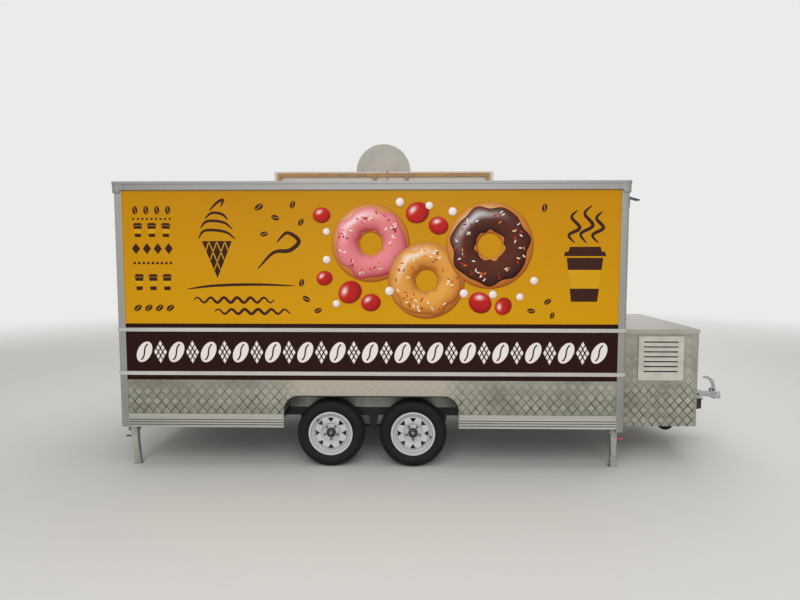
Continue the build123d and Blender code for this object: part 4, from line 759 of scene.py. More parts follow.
boxLow, boxHigh = (np.array(c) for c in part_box("front_box"))
louvreLow, louvreHigh = (np.array(c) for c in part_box("box_louvres"))
skirt = {"low": 0.486, "high": 0.782, "end": xRear + 0.078, "front": xFront - 0.078}
for side, sign in (("near", 1), ("far", -1)):
    ends = sorted((sign * skirt["end"], sign * skirt["front"]))
    treadBars(f"treadBars_{side}", side, skinY + 0.003, ends, (skirt["low"], skirt["high"]),
              lambda u, v, sign=sign: outsideArch(sign * u, v), "tread", "brown_panel")
    ends = sorted((sign * (boxLow[0] + 0.004), sign * (boxHigh[0] - 0.016)))
    treadBars(f"boxBars_{side}", side, boxHigh[1], ends, (boxLow[2] + 0.004, 1.158),
              lambda u, v, sign=sign: (sign * u < louvreLow[0] - 0.004) | (sign * u > louvreHigh[0] + 0.004)
              | (v < louvreLow[2] - 0.004) | (v > louvreHigh[2] + 0.004), "tread", "grey_aluminium")
postInner = ySide - 0.078
treadBars("treadBars_frontWall", "front", xFront - 0.006, (-postInner, postInner), (skirt["low"], skirt["high"]),
          lambda u, v: np.abs(u) > boxHigh[1] + 0.012, "tread", "brown_panel")
treadBars("treadBars_rearWall", "rear", -(xRear + 0.006), (-postInner, postInner), (skirt["low"], skirt["high"]),
          lambda u, v: (np.abs(u) > 0.43), "tread", "brown_panel")
treadBars("boxBars_front", "front", boxHigh[0], (-boxHigh[1] + 0.016, boxHigh[1] - 0.016),
          (boxLow[2] + 0.004, 1.158), lambda u, v: (v > 0.408) | (np.abs(u) > 0.25), "tread", "grey_aluminium")
treadBars("treadBars_door", "rear", -(xRear + 0.006), (-0.385, 0.385), (0.55, skirt["high"]),
          lambda u, v: v > 0, "tread", "yellow_panel", "entry_door")
print("tread plate done")


# Edge trims, joints and fixings of the body

archTrim = {"width": 0.008, "proud": 0.0045, "steps": 10}


def archPath(a):
    # Up the rear jamb, round the two corners of radius corner, down the front jamb, in X and Z
    t = np.linspace(0, pi / 2, archTrim["steps"])
    low, r = 0.4565, a["corner"]
    rear = np.stack([a["start"] + r - r * np.cos(t), a["top"] - r + r * np.sin(t)], -1)
    front = np.stack([a["end"] - r + r * np.sin(t), a["top"] - r + r * np.cos(t)], -1)
    return np.concatenate([[(a["start"], low)], rear, front, [(a["end"], low)]])


for side, sign in (("near", -1), ("far", 1)):
    flat = archPath(arch)
    path = np.stack([flat[:, 0], np.full(len(flat), sign * (skinY + 0.003)), flat[:, 1]], -1)
    w, p = archTrim["width"], archTrim["proud"]
    profile = np.array([(-0.0006, -0.004), (w, -0.0005), (w, p - 0.001), (w - 0.001, p), (0.0004, p), (-0.0006, p - 0.001)])
    turn = np.array([0, sign, 0], float)
    points, faces = carried(path, profile * (1 if sign < 0 else -1, 1), turn)
    addPiece(f"archTrim_{side}", points, faces, "blackRubber", "tyre_rubber", smooth=40)

rivet = {"radius": 0.0040, "height": 0.0018, "sides": 10, "rings": 2}
rivetShape = domeShape(rivet["radius"], rivet["height"], rivet["sides"], rivet["rings"])


def fixingRow(name, ends, z, depth, side, count, look="zinc", slot="grey_aluminium", skip=None, body="trailer",
              shape=None):
    # Heads at equal steps between two ends on one of the four faces, left out where skip says so
    along, upward, outward = (np.array(a, float) for a in planes[side])
    u = np.linspace(*ends, count)
    if skip is not None:
        u = u[~skip(u)]
    places = u[:, None] * np.abs(along) + z * upward + depth * outward
    way = {"near": "-Y", "far": "+Y", "front": "+X", "rear": "-X"}[side]
    return addPiece(name, *headRow(shape or rivetShape, places, way), look, slot, body, 40)


trimSlot = "grey_aluminium"
insideArch = (lambda u: (u > arch["start"] - 0.01) & (u < arch["end"] + 0.01))
for side in ("near", "far"):
    ends = (xRear + 0.110, xFront - 0.110)
    fixingRow(f"skirtRivets_{side}", ends, 0.7775, skinY + 0.003, side, 30, slot=trimSlot)
    fixingRow(f"footRivets_{side}", ends, 0.4700, skinY + 0.003, side, 30, slot=trimSlot, skip=insideArch)
    fixingRow(f"sillRivets_{side}", ends, 0.4470, ySide, side, 22, slot=trimSlot, skip=insideArch)
    fixingRow(f"trimRivets_{side}", (xRear + 0.16, xFront - 0.16), 2.4470, ySide + 0.010, side, 17, slot=trimSlot)
for side, depth in (("rear", -xRear), ("front", xFront)):
    fixingRow(f"trimRivets_{side}", (-0.85, 0.85), 2.4470, depth + 0.010, side, 8, slot=trimSlot)
bandLow, bandHigh = (np.array(c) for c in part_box("side_bands"))
bandMid = (bandLow[2] + 0.016, bandHigh[2] - 0.016)
for side in ("near", "far"):
    shelf = (lambda u: np.abs(u - xMiddle) < 1.30) if side == "far" else None
    for k, z in enumerate(bandMid):
        fixingRow(f"bandScrews_{side}_{k}", (xRear + 0.10, xFront - 0.10), z, ySide, side, 13, "bandWhite",
                  "white_band", skip=shelf)
for side, sign in (("near", 1), ("far", -1)):
    for k, z in enumerate((louvreLow[2] + 0.012, louvreHigh[2] - 0.012)):
        ends = (louvreLow[0] + 0.014, louvreHigh[0] - 0.014)
        fixingRow(f"louvreScrews_{side}_{k}", ends, z, boxHigh[1] + 0.014, side, 3, "louvreWhite", "white_band")
print("fixings done")

boxTrim = {"leg": 0.014, "sheet": 0.0015, "top": 1.158}


def angleTrim(corner, ways, low, high, t):  # L section standing on an outside corner: two legs and a rounded heel
    c, (a, b) = np.asarray(corner, float), ways
    section = [(-t["leg"], 0), (-t["leg"], t["sheet"]), (0.0002, t["sheet"]), (t["sheet"] * 0.7, t["sheet"] * 0.7),
               (t["sheet"], 0.0002), (t["sheet"], -t["leg"]), (0, -t["leg"]), (0, 0)]
    flat = np.array(section) * (a, b) + c
    rows = np.stack([np.column_stack([flat, np.full(len(flat), z)]) for z in (low, high)])
    n = len(section)
    return rows.reshape(-1, 3), gridFaces(2, n, False, True) + [list(range(n)), list(range(n, 2 * n))]


boxAngles = [angleTrim((boxHigh[0], way * boxHigh[1]), (1, way), boxLow[2], boxTrim["top"], boxTrim)
             for way in (-1, 1)]
addPiece("boxCornerTrims", *joined(*boxAngles), "anodised", trimSlot, smooth=30)
for side in ("near", "far"):
    for k, z in enumerate((0.36, 0.62, 0.88, 1.12)):
        fixingRow(f"boxRivets_{side}_{k}", (boxHigh[0] - 0.0075, boxHigh[0] - 0.0075), z, boxHigh[1] + 0.0015, side, 1,
                  slot=trimSlot)

latch = {"reach": 0.42, "plate": (0.034, 0.052), "top": 1.150}
latches = []
for y in (-latch["reach"], latch["reach"]):
    w, h = latch["plate"]
    x = boxHigh[0]
    latches.append(boxShape((x, y - w / 2, latch["top"] - h), (x + 0.003, y + w / 2, latch["top"])))
    latches.append(boxShape((x + 0.003, y - 0.006, latch["top"] - 0.046), (x + 0.010, y + 0.006, latch["top"] - 0.004)))
    latches.append(turned([(0.0001, -0.012), (0.005, -0.012), (0.005, 0.012), (0.0001, 0.012)],
                          (x + 0.006, y, latch["top"] - 0.012), "Y", 12))
lockPieces = addPiece("boxLatches", *joined(*latches), "zinc", trimSlot, smooth=30)

# Cabin: folded white angles cover the joints of the liner sheets in the four inner corners
inside = {"leg": 0.050, "sheet": 0.0012, "floor": 0.5397, "roof": 2.434, "x": xFront - xMiddle - 0.046, "y": skinY - 0.040}
angles = []
for wayX in (-1, 1):
    for wayY in (-1, 1):
        leg, t = inside["leg"], inside["sheet"]
        section = np.array([(0.0003, 0.0003), (-leg, 0.0003), (-leg, -t), (-t, -t), (-t, -leg), (0.0003, -leg)])
        flat = section * (wayX, wayY) + (xMiddle + wayX * inside["x"], wayY * inside["y"])
        rows = np.stack([np.column_stack([flat, np.full(6, z)]) for z in (inside["floor"], inside["roof"])])
        angles.append((rows.reshape(-1, 3), gridFaces(2, 6, False, True) + [list(range(6)), list(range(6, 12))]))
addPiece("insideCorners", *joined(*angles), "louvreWhite", "white_band", smooth=30)

# Roof: lap joints of the sheets across it, with a bead of sealant along each
roofJoint = {"places": (-1.10, 0.0, 1.10), "width": 0.030, "height": 0.0025}
laps = []
for place in roofJoint["places"]:
    x, w, h = xMiddle + place, roofJoint["width"] / 2, roofJoint["height"]
    y = ySide - 0.073
    base, crown = 2.486, 2.486 + h
    section = np.array([(x - w, base - 0.0005), (x - w, base + h * 0.3), (x - w * 0.6, crown), (x + w * 0.6, crown),
                        (x + w, base + h * 0.3), (x + w, base - 0.0005)])
    rows = np.stack([np.column_stack([section[:, 0], np.full(6, v), section[:, 1]]) for v in (-y, y)])
    laps.append((rows.reshape(-1, 3), gridFaces(2, 6, False, True) + [list(range(6)), list(range(6, 12))]))
addPiece("roofLaps", *joined(*laps), "roofWhite", "white_band", smooth=30)
print("trims done")


# Corner legs: pull pins on the sleeves, pivot bolts and gussets

def rounded(radius, start, end, step=0.0015):  # closed profile of a rod with softened ends, as (radius, distance)
    way = np.sign(end - start) * step
    return [(0.0001, start), (radius - step, start), (radius, start + way), (radius, end - way),
            (radius - step, end), (0.0001, end)]


def hexHead(radius, foot, top):  # bolt head: six sides, its outer face chamfered, along +Z from foot to top
    turn = np.arange(6) * tau / 6
    rows = [np.stack([radius * k * np.cos(turn), radius * k * np.sin(turn), np.full(6, z)], -1)
            for k, z in ((1, foot), (1, top - 0.0015), (0.86, top))]
    return np.concatenate(rows), gridFaces(3, 6, False, True) + [list(range(6)), list(range(12, 18))]


legs = {"y": ySide - 0.115, "pivot": 0.330, "pinDrop": 0.080, "half": 0.028, "collar": (0.0125, 0.012),
        "grip": (0.0088, 0.047), "cheek": 0.041, "boltHead": (0.0145, 0.009),
        "rear": {"x": xRear + 0.070, "foot": 0.030, "way": -1, "colour": "blueGrip"},
        "front": {"x": xFront - 0.056, "foot": 0.0, "way": 1, "colour": "redGrip"}}
for end in ("rear", "front"):
    leg = legs[end]
    for side, sign in (("near", -1), ("far", 1)):
        body = f"leg_{end}_{side}"
        z = legs["pivot"] - legs["pinDrop"]
        x = leg["x"] + leg["foot"] * legs["pinDrop"] / legs["pivot"] + leg["way"] * (legs["half"] - 0.0005)
        collarRadius, collarLong = legs["collar"]
        gripRadius, gripLong = legs["grip"]
        start = leg["way"] * collarLong
        collar = turned(rounded(collarRadius, 0, start), (x, sign * legs["y"], z), "X", 20)
        grip = turned(rounded(gripRadius, start, start + leg["way"] * gripLong, 0.003), (x, sign * legs["y"], z), "X", 20)
        addPiece(f"pinCollar_{end}_{side}", *collar, "darkSteel", "galvanised_steel", body)
        addPiece(f"pinGrip_{end}_{side}", *grip, leg["colour"], "blue_plastic", body)
        heads = [(leg["x"] + way * legs["cheek"], way) for way in (-1, 1)]
        shape, faces = hexHead(legs["boltHead"][0], 0, legs["boltHead"][1])
        pieces = [stamped(shape, faces, [(hx, sign * legs["y"], legs["pivot"])],
                          towards["+X" if way > 0 else "-X"][None]) for hx, way in heads]
        arc = np.linspace(0, pi / 2, 9)
        x0, inwards = leg["x"] - leg["way"] * (legs["cheek"] - 0.001), -leg["way"]
        reach, high, low = 0.040, 0.3935, 0.303
        curve = np.stack([x0 + inwards * reach * (1 - np.sin(arc)), high - (high - low) * (1 - np.cos(arc))], -1)
        flat = np.concatenate([[(x0, high)], [(x0 + inwards * reach, high)], curve])
        y0 = sign * (legs["y"] + 0.034)
        rows = np.stack([np.column_stack([flat[:, 0], np.full(len(flat), y), flat[:, 1]]) for y in (y0, y0 - sign * 0.005)])
        n = len(flat)
        gusset = (rows.reshape(-1, 3), gridFaces(2, n, False, True) + [list(range(n)), list(range(n, 2 * n))])
        addPiece(f"legBolts_{end}_{side}", *joined(*pieces), "zinc", "galvanised_steel")
        addPiece(f"legGusset_{end}_{side}", *gusset, "galvanised", "galvanised_steel")
print("leg fittings done")

# Coupling: clamp bolts, pivot bolt of the lever and a safety hook below
couplingLow, couplingHigh = (np.array(c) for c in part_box("coupling_head"))
hitch = {"x": couplingHigh[0] - 0.033, "low": 0.408, "top": 0.482, "half": 0.033, "clampBolts": (0.026, 0.080),
         "boltZ": 0.452, "boltRadius": 0.0105, "ear": 0.022, "pivot": (-0.050, 0.012)}
shape, faces = hexHead(hitch["boltRadius"], 0, 0.007)
seats, turns = [], []
for sign, way in ((-1, "-Y"), (1, "+Y")):
    for place in hitch["clampBolts"]:
        seats.append((couplingLow[0] + place, sign * hitch["half"], hitch["boltZ"]))
        turns.append(towards[way])
    seats.append((hitch["x"] + hitch["pivot"][0], sign * hitch["ear"], hitch["top"] + hitch["pivot"][1]))
    turns.append(towards[way])
addPiece("couplingBolts", *stamped(shape, faces, seats, np.array(turns)), "darkSteel", "galvanised_steel")
bend = np.linspace(0, pi, 12)
hookX, hookY, r = 2.692, -0.022, 0.011
hookPath = np.concatenate([[(hookX - r, hookY, 0.4305)], np.stack([hookX - r * np.cos(bend), np.full(12, hookY),
                                                                   0.404 - r * np.sin(bend)], -1),
                           [(hookX + r, hookY, 0.413)]])
ringTurn = np.arange(10) * tau / 10
hook = carried(hookPath, 0.0042 * np.stack([np.cos(ringTurn), np.sin(ringTurn)], -1), (0, 1, 0))
addPiece("safetyHook", *hook, "blackSteel", "black_steel")
print("coupling fittings done")

# Serving hatch, door and inlet fittings
hatch = {"latchAt": (-0.95, 0.95), "low": 1.281, "plate": (0.066, 0.030), "face": skinY + 0.003}
latchPieces = []
for place in hatch["latchAt"]:
    w, h = hatch["plate"]
    x, y, z = xMiddle + place, hatch["face"], hatch["low"]
    latchPieces.append(boxShape((x - w / 2, y - 0.0003, z), (x + w / 2, y + 0.0025, z + h)))
    latchPieces.append(turned(rounded(0.009, 0.0, 0.007), (x, y + 0.002, z + h / 2), "Y", 24))
    latchPieces.append(boxShape((x - 0.004, y + 0.007, z + 0.004), (x + 0.030, y + 0.011, z + h - 0.004)))
latches = addPiece("hatchLatches", *joined(*latchPieces), "zinc", "grey_aluminium", "serving_hatch", 30)
bevel = latches.modifiers.new("softEdges", "BEVEL")
bevel.width, bevel.segments, bevel.limit_method = 0.0008, 1, "ANGLE"

doorFit = {"y": -0.330, "plate": (0.036, 0.230), "z": 1.475, "cylinder": 0.0095, "keyAt": 1.388}
w, h = doorFit["plate"]
face = xRear + 0.006
plateShape = boxShape((face - 0.0022, doorFit["y"] - w / 2, doorFit["z"] - h / 2),
                      (face + 0.0003, doorFit["y"] + w / 2, doorFit["z"] + h / 2))
backPlate = addPiece("doorLockPlate", *plateShape, "zinc", "grey_aluminium", "entry_door", 30)
bevel = backPlate.modifiers.new("softEdges", "BEVEL")
bevel.width, bevel.segments, bevel.limit_method = 0.0008, 2, "ANGLE"
cylinder = turned(rounded(doorFit["cylinder"], 0, -0.007), (face - 0.002, doorFit["y"], doorFit["keyAt"]), "X", 24)
slot = boxShape((face - 0.0098, doorFit["y"] - 0.0008, doorFit["keyAt"] - 0.005),
                (face - 0.0088, doorFit["y"] + 0.0008, doorFit["keyAt"] + 0.005))
addPiece("doorLock", *cylinder, "stainless", "grey_aluminium", "entry_door", 30)
addPiece("doorKeySlot", *slot, "blackRubber", "grey_aluminium", "entry_door", 30)
rows = []
for z in (0.760, 1.460, 2.160):
    for dz in (-0.032, 0.0, 0.032):
        rows.append((xRear + 0.006 - 0.0168, 0.373, z + dz))
addPiece("doorHingeScrews", *headRow(domeShape(0.0045, 0.0015, 10, 2), rows, "-X"), "darkSteel", "grey_aluminium",
         "entry_door", 40)

inlet = {"face": xFront - 0.006 + 0.034, "y": -ySide + 0.130, "z": 2.330, "depth": 0.022, "circle": 0.0125}
pins = []
for k in range(3):
    turn = tau * k / 3 + pi / 2
    centre = (inlet["face"] - inlet["depth"], inlet["y"] + inlet["circle"] * np.cos(turn),
              inlet["z"] + inlet["circle"] * np.sin(turn))
    pins.append(turned(rounded(0.003, -0.001, 0.016, 0.001), centre, "X", 14))
addPiece("inletPins", *joined(*pins), "zinc", "blue_plastic")
print("door, hatch and inlet fittings done")

# Sign: an upright strip welded to the back of the frame, with its foot bracket
signLow, signHigh = (np.array(c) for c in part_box("sign_frame"))
strip = {"x": xMiddle + 0.025 + 0.045, "half": 0.008, "low": 2.600, "high": 2.866, "sheet": 0.006}
y = signLow[1]
addPiece("signStrip", *boxShape((strip["x"] - strip["half"], y - strip["sheet"], strip["low"]),
                                (strip["x"] + strip["half"], y + 0.0003, strip["high"])), "goldPaint", "gold_tube")
foot = boxShape((strip["x"] - 0.035, y - 0.004, 2.618), (strip["x"] + 0.035, y - strip["sheet"] - 0.003, 2.634))
addPiece("signStripFoot", *foot, "darkSteel", "gold_tube")
print("sign fittings done")


# Printed artwork, flat film shapes with their own ink colours. X runs from the rear post, Z from the ground

film = {"lift": 0.0004, "brown": "#3A1D15", "white": "#E9E3DC", "cream": "#F2E3C4", "dough": "#D08A3A",
        "doughDark": "#A85B22", "pink": "#E58E93", "red": "#C9231C", "orange": "#DE7A22"}


def inkOf(colour):
    return np.array(linearColour(film.get(colour, colour)))


def filmShapes(name, shapes, layer=1, wall="near", body="trailer"):
    # Each shape is (outline of X and Z, colour): front, back and edge of one thin cut piece
    points, faces, ink, start = [], [], [], 0
    sign = -1 if wall == "near" else 1
    for outline, colour in shapes:
        outline = np.asarray(outline, float)
        n = len(outline)
        for depth in (skinY + film["lift"] * layer, skinY - 0.0002):
            points.append(np.stack([xRear + outline[:, 0], np.full(n, sign * depth), outline[:, 1]], -1))
        ring = np.arange(n)
        faces += [(start + ring).tolist(), (start + n + ring[::-1]).tolist()]
        faces += (start + np.stack([ring, (ring + 1) % n, (ring + 1) % n + n, ring + n], -1)).tolist()
        ink.append(np.broadcast_to(inkOf(colour), (2 * n, 4)))
        start += 2 * n
    return addPiece(name, np.concatenate(points), faces, "ink", "yellow_panel", body, 30, ink=np.concatenate(ink))


def ellipse(x, z, a, b=None, turn=0.0, n=28):
    t, b, turn = np.arange(n) * tau / n, b or a, radians(turn)
    u, v = a * np.cos(t), b * np.sin(t)
    return np.stack([x + u * np.cos(turn) - v * np.sin(turn), z + u * np.sin(turn) + v * np.cos(turn)], -1)


def ribbon(path, width):  # a stroke: the path shifted to both sides by half its width
    path = np.asarray(path, float)
    along = np.gradient(path, axis=0)
    along /= np.linalg.norm(along, axis=1, keepdims=True)
    out = along[:, ::-1] * (-1, 1) * np.broadcast_to(width, len(path))[:, None] / 2
    return np.concatenate([path + out, (path - out)[::-1]])


def smoothPath(corners, n=60):  # Catmull-Rom curve through the given points
    p = np.asarray(corners, float)
    p = np.concatenate([2 * p[:1] - p[1:2], p, 2 * p[-1:] - p[-2:-1]])
    t = np.linspace(0, len(p) - 3 - 1e-9, n)
    i = t.astype(int)
    f = (t - i)[:, None]
    a, b, c, d = p[i], p[i + 1], p[i + 2], p[i + 3]
    return 0.5 * (2 * b + (c - a) * f + (2 * a - 5 * b + 4 * c - d) * f ** 2 + (3 * b - a - 3 * c + d) * f ** 3)


def taper(n, width, tail=0.15):
    t = np.linspace(0, 1, n)
    return width * (tail + (1 - tail) * np.sin(pi * t) ** 0.6)


def bean(x, z, size, turn, colour="brown", slit="#C8940F"):
    s = np.linspace(-0.78, 0.78, 12)
    turnR = radians(turn)
    u, v = s * size, 0.12 * size * np.sin(s * 3.4)
    line = np.stack([x + u * np.cos(turnR) - v * np.sin(turnR), z + u * np.sin(turnR) + v * np.cos(turnR)], -1)
    return [(ellipse(x, z, size, size * 0.62, turn, 22), colour)], [(ribbon(line, size * 0.13), slit)]


def cup(x, z, width, height, colour="brown"):
    w = width / 2
    body = [(x - w * 0.86, z + height * 0.80), (x - w * 0.62, z), (x + w * 0.62, z), (x + w * 0.86, z + height * 0.80)]
    lid = [(x - w, z + height * 0.83), (x + w, z + height * 0.83), (x + w * 0.94, z + height * 0.91),
           (x + w * 0.80, z + height * 0.91), (x + w * 0.72, z + height), (x - w * 0.72, z + height),
           (x - w * 0.80, z + height * 0.91), (x - w * 0.94, z + height * 0.91)]
    sleeve = [(x - w * 0.79, z + height * 0.58), (x - w * 0.69, z + height * 0.24),
              (x + w * 0.69, z + height * 0.24), (x + w * 0.79, z + height * 0.58)]
    return [(body, colour), (lid, colour)], [(sleeve, "#CF9A12")]


def ringPrint(name, x, z, outer, inner, colour, shade, layer, wobble=0.0, waves=7, phase=0.0):
    # Annulus on a grid of radius and angle, shaded like a torus lit from the upper left
    rows, columns = 15, 96
    t, angle = np.linspace(0, 1, rows)[:, None], (np.arange(columns) * tau / columns)[None, :]
    edge = wobble * np.sin(waves * angle + phase) + 0.5 * wobble * np.sin((waves + 4) * angle - phase)
    r = inner - 0.6 * edge + (outer - inner + 1.6 * edge) * t
    points = np.stack([x + r * np.cos(angle), z + r * np.sin(angle)], -1)
    across = 2 * t - 1 + 0 * angle
    facing = np.sqrt(np.clip(1 - 0.92 * across ** 2, 0, 1))
    light = np.cos(angle - radians(125)) * across
    tone = np.clip(0.46 + 0.42 * facing + 0.30 * light, 0.2, 1.15)
    spot = np.exp(-((across - 0.42) / 0.26) ** 2) * np.clip(np.cos(angle - radians(125)), 0, 1) ** 3
    base, dark = inkOf(colour)[:3], inkOf(shade)[:3]
    mix = np.clip((tone - 0.45) / 0.55, 0, 1)[..., None]
    ink = dark + (base - dark) * mix
    ink = ink + (1 - ink) * 0.55 * spot[..., None]
    return gridPrint(name, points, ink, layer, (False, True))


def discPrint(name, x, z, radius, colour, shade, layer, squash=1.0, turn=0.0):
    rows, columns = 10, 40
    t, angle = np.linspace(0.02, 1, rows)[:, None], (np.arange(columns) * tau / columns)[None, :]
    u, v = radius * t * np.cos(angle), radius * squash * t * np.sin(angle)
    turn = radians(turn)
    points = np.stack([x + u * np.cos(turn) - v * np.sin(turn), z + u * np.sin(turn) + v * np.cos(turn)], -1)
    facing = np.sqrt(np.clip(1 - 0.9 * t ** 2, 0, 1)) + 0 * angle
    light = np.cos(angle - radians(125)) * t
    mix = np.clip(0.30 + 0.5 * facing + 0.32 * light, 0, 1)[..., None]
    base, dark = inkOf(colour)[:3], inkOf(shade)[:3]
    spot = np.exp(-((t - 0.5) / 0.2) ** 2) * np.clip(np.cos(angle - radians(125)), 0, 1) ** 5
    ink = dark + (base - dark) * mix
    ink = ink + (1 - ink) * 0.7 * spot[..., None]
    return gridPrint(name, points, ink, layer, (False, True))


def gridPrint(name, points, ink, layer, wrap):
    rows, columns = points.shape[:2]
    depth = np.full((rows, columns), -(skinY + film["lift"] * layer))
    solid = np.stack([xRear + points[..., 0], depth, points[..., 1]], -1)
    colours = np.concatenate([ink, np.ones((rows, columns, 1))], -1)
    faces = gridFaces(rows, columns, *wrap)
    faces = [f[::-1] for f in faces]
    piece = addPiece(name, solid, faces, "ink", "yellow_panel", closed=False, ink=colours)
    skin = piece.modifiers.new("filmThickness", "SOLIDIFY")
    skin.thickness, skin.offset = 0.0003, -1
    return piece


doughnuts = [  # name, X, Z, outer radius, hole radius, icing, its shade, wobble phase
    ("berry", 2.22, 1.98, 0.335, 0.092, "#E88A90", "#A83A46", 2.1),
    ("caramel", 2.70, 1.66, 0.330, 0.092, "#E7A54A", "#A65A18", 4.0),
    ("chocolate", 3.24, 1.96, 0.370, 0.104, "#5A2A1C", "#2C110C", 0.4),
]
for k, (name, x, z, outer, hole, icing, shade, phase) in enumerate(doughnuts):
    layer = 1 + 4 * k
    ringPrint(f"doughnut_{name}", x, z, outer, hole, "dough", "doughDark", layer)
    ringPrint(f"icing_{name}", x, z, outer * 0.90, hole * 1.22, icing, shade, layer + 1, 0.013, 7, phase)
    seed = np.random.default_rng(20 + k)
    turn = seed.uniform(0, tau, 54)
    r = hole * 1.5 + (outer * 0.82 - hole * 1.5) * np.sqrt(seed.uniform(0.02, 1, 54))
    lean, tints = seed.uniform(0, 180, 54), seed.choice(["white", "red", "cream", "orange", "#7A2E1C"], 54)
    filmShapes(f"sprinkles_{name}", [(ellipse(x + a * np.cos(b), z + a * np.sin(b), 0.0165, 0.0058, c, 10), str(d))
                                     for a, b, c, d in zip(r, turn, lean, tints)], layer + 2)
berries = [(2.62, 2.24, 0.100, 20), (2.80, 2.13, 0.085, -15), (2.04, 1.56, 0.105, 40), (2.22, 1.47, 0.085, 10),
           (3.16, 1.47, 0.100, -30), (1.80, 2.22, 0.075, 0), (3.36, 1.44, 0.078, 60), (1.82, 1.68, 0.070, 15)]
for k, (x, z, size, turn) in enumerate(berries):
    discPrint(f"berry_{k}", x, z, size, "red", "#6E0A12", 14, 0.88, turn)
pearls = [(2.47, 2.33, 0.036), (2.72, 2.30, 0.032), (2.92, 2.25, 0.036), (2.38, 1.57, 0.038), (1.92, 1.46, 0.032),
          (1.84, 1.84, 0.034), (1.84, 2.08, 0.030), (3.02, 1.55, 0.036), (3.27, 1.54, 0.034), (3.50, 1.52, 0.032),
          (3.62, 1.66, 0.034)]
for k, (x, z, size) in enumerate(pearls):
    discPrint(f"pearl_{k}", x, z, size, "#F6EDE6", "#C79A94", 15)

beans, slits = [], []
for x, z, size, turn in [(1.26, 2.29, 0.040, 30), (1.40, 2.20, 0.036, -20), (1.55, 2.31, 0.034, 70),
                         (1.30, 2.06, 0.034, 15), (1.62, 2.16, 0.034, 60), (1.66, 1.50, 0.036, -35),
                         (1.76, 1.40, 0.034, 20), (1.62, 1.64, 0.034, 75), (3.70, 2.28, 0.036, 80),
                         (3.60, 1.40, 0.034, -10), (3.74, 1.48, 0.034, 35), (3.78, 1.36, 0.030, 70)]:
    shape, slit = bean(x, z, size, turn)
    beans += shape
    slits += slit
cupAt = (3.58, -0.08)  # from where the far side has its cup
bodyShapes, sleeve = cup(0.47, 1.56, 0.36, 0.47)
steam = [ribbon(smoothPath(corners), taper(60, 0.030)) for corners in (
    [(0.38, 2.06), (0.33, 2.13), (0.42, 2.19), (0.35, 2.28), (0.40, 2.34)],
    [(0.48, 2.06), (0.43, 2.14), (0.53, 2.21), (0.46, 2.31), (0.52, 2.38)],
    [(0.58, 2.06), (0.53, 2.13), (0.62, 2.19), (0.56, 2.27), (0.61, 2.33)])]
swash = ribbon(smoothPath([(1.24, 1.76), (1.38, 1.90), (1.52, 1.92), (1.60, 2.00), (1.50, 2.07), (1.41, 1.99)], 70),
               taper(70, 0.036))


def shifted(shapes, x, z=0.0):  # shapes moved along the wall
    return [(np.asarray(outline, float) + (x, z), colour) for outline, colour in shapes]


cupShapes = bodyShapes + [(s, "brown") for s in steam]
filmShapes("cupMotif", shifted(cupShapes, *cupAt) + [(swash, "brown")] + beans)
filmShapes("cupMotifLight", shifted(sleeve, *cupAt) + slits, 2)

cone = [(3.10, 1.98), (3.23, 1.66), (3.36, 1.98)]
swirl = [ribbon(smoothPath(corners, 50), taper(50, 0.024)) for corners in (
    [(3.07, 2.00), (3.13, 2.07), (3.30, 2.06), (3.39, 2.00)],
    [(3.09, 2.09), (3.15, 2.15), (3.29, 2.14), (3.37, 2.08)],
    [(3.13, 2.17), (3.19, 2.22), (3.28, 2.21), (3.33, 2.16)],
    [(3.17, 2.24), (3.24, 2.31), (3.29, 2.33), (3.27, 2.27)])]
lattice = [ribbon([(x0, 1.975), (x1, z1)], 0.008) for x0, x1, z1 in
           ((3.16, 3.255, 1.735), (3.23, 3.29, 1.82), (3.30, 3.325, 1.90), (3.30, 3.205, 1.735), (3.23, 3.17, 1.82),
            (3.16, 3.135, 1.90))]
waves = []
for z, start, stop, crest in ((1.49, 2.92, 3.62, 0.022), (1.39, 3.10, 3.76, 0.020)):
    x = np.linspace(start, stop, 90)
    waves.append(ribbon(np.stack([x, z + crest * np.sin((x - start) * tau / 0.116)], -1), taper(90, 0.026, 0.3)))
waves.append(ribbon(smoothPath([(2.86, 1.585), (3.10, 1.615), (3.45, 1.625), (3.80, 1.615)]), taper(60, 0.024)))
coneAt, wavesAt, columnAt = (-2.34, 0.02), (-2.24, 0.0), (-3.76, 0.0)
coneShapes, coneLines = [(s, "brown") for s in [cone, *swirl]], [(s, "#CF9A12") for s in lattice]
filmShapes("coneMotif", shifted(coneShapes, *coneAt) + shifted([(s, "brown") for s in waves], *wavesAt))
filmShapes("coneMotifLight", shifted(coneLines, *coneAt), 2)

column, columnLight = [], []
for k in range(4):
    shape, slit = bean(3.945 + 0.095 * k, 2.265, 0.036, 90)
    column += shape
    columnLight += slit
    column.append((ellipse(3.945 + 0.095 * k, 1.935, 0.036, 0.048, n=4), "brown"))
    shape, slit = bean(3.945 + 0.095 * k, 1.42, 0.038, 35)
    column += shape
    columnLight += slit
for k in range(3):
    for z, high in ((2.035, 0.12), (1.575, 0.14)):
        shape, slit = cup(3.965 + 0.122 * k, z, 0.085, high)
        column += shape
        columnLight += slit
for k in range(9):
    column.append((ellipse(3.93 + 0.0395 * k, 2.190, 0.010), "brown"))
    column.append((ellipse(3.93 + 0.0395 * k, 1.810, 0.012), "brown"))
filmShapes("columnMotif", shifted(column, *columnAt))
filmShapes("columnMotifLight", shifted(columnLight, *columnAt), 2)

# Band: one even row of large beans that alternate with waffle lozenges, white on the brown film
bandRow = {"middle": 1.0335, "bean": 0.098, "lean": 62, "lozenge": (0.056, 0.100), "line": 0.010,
           "row": (0.230, 4.190, 29)}


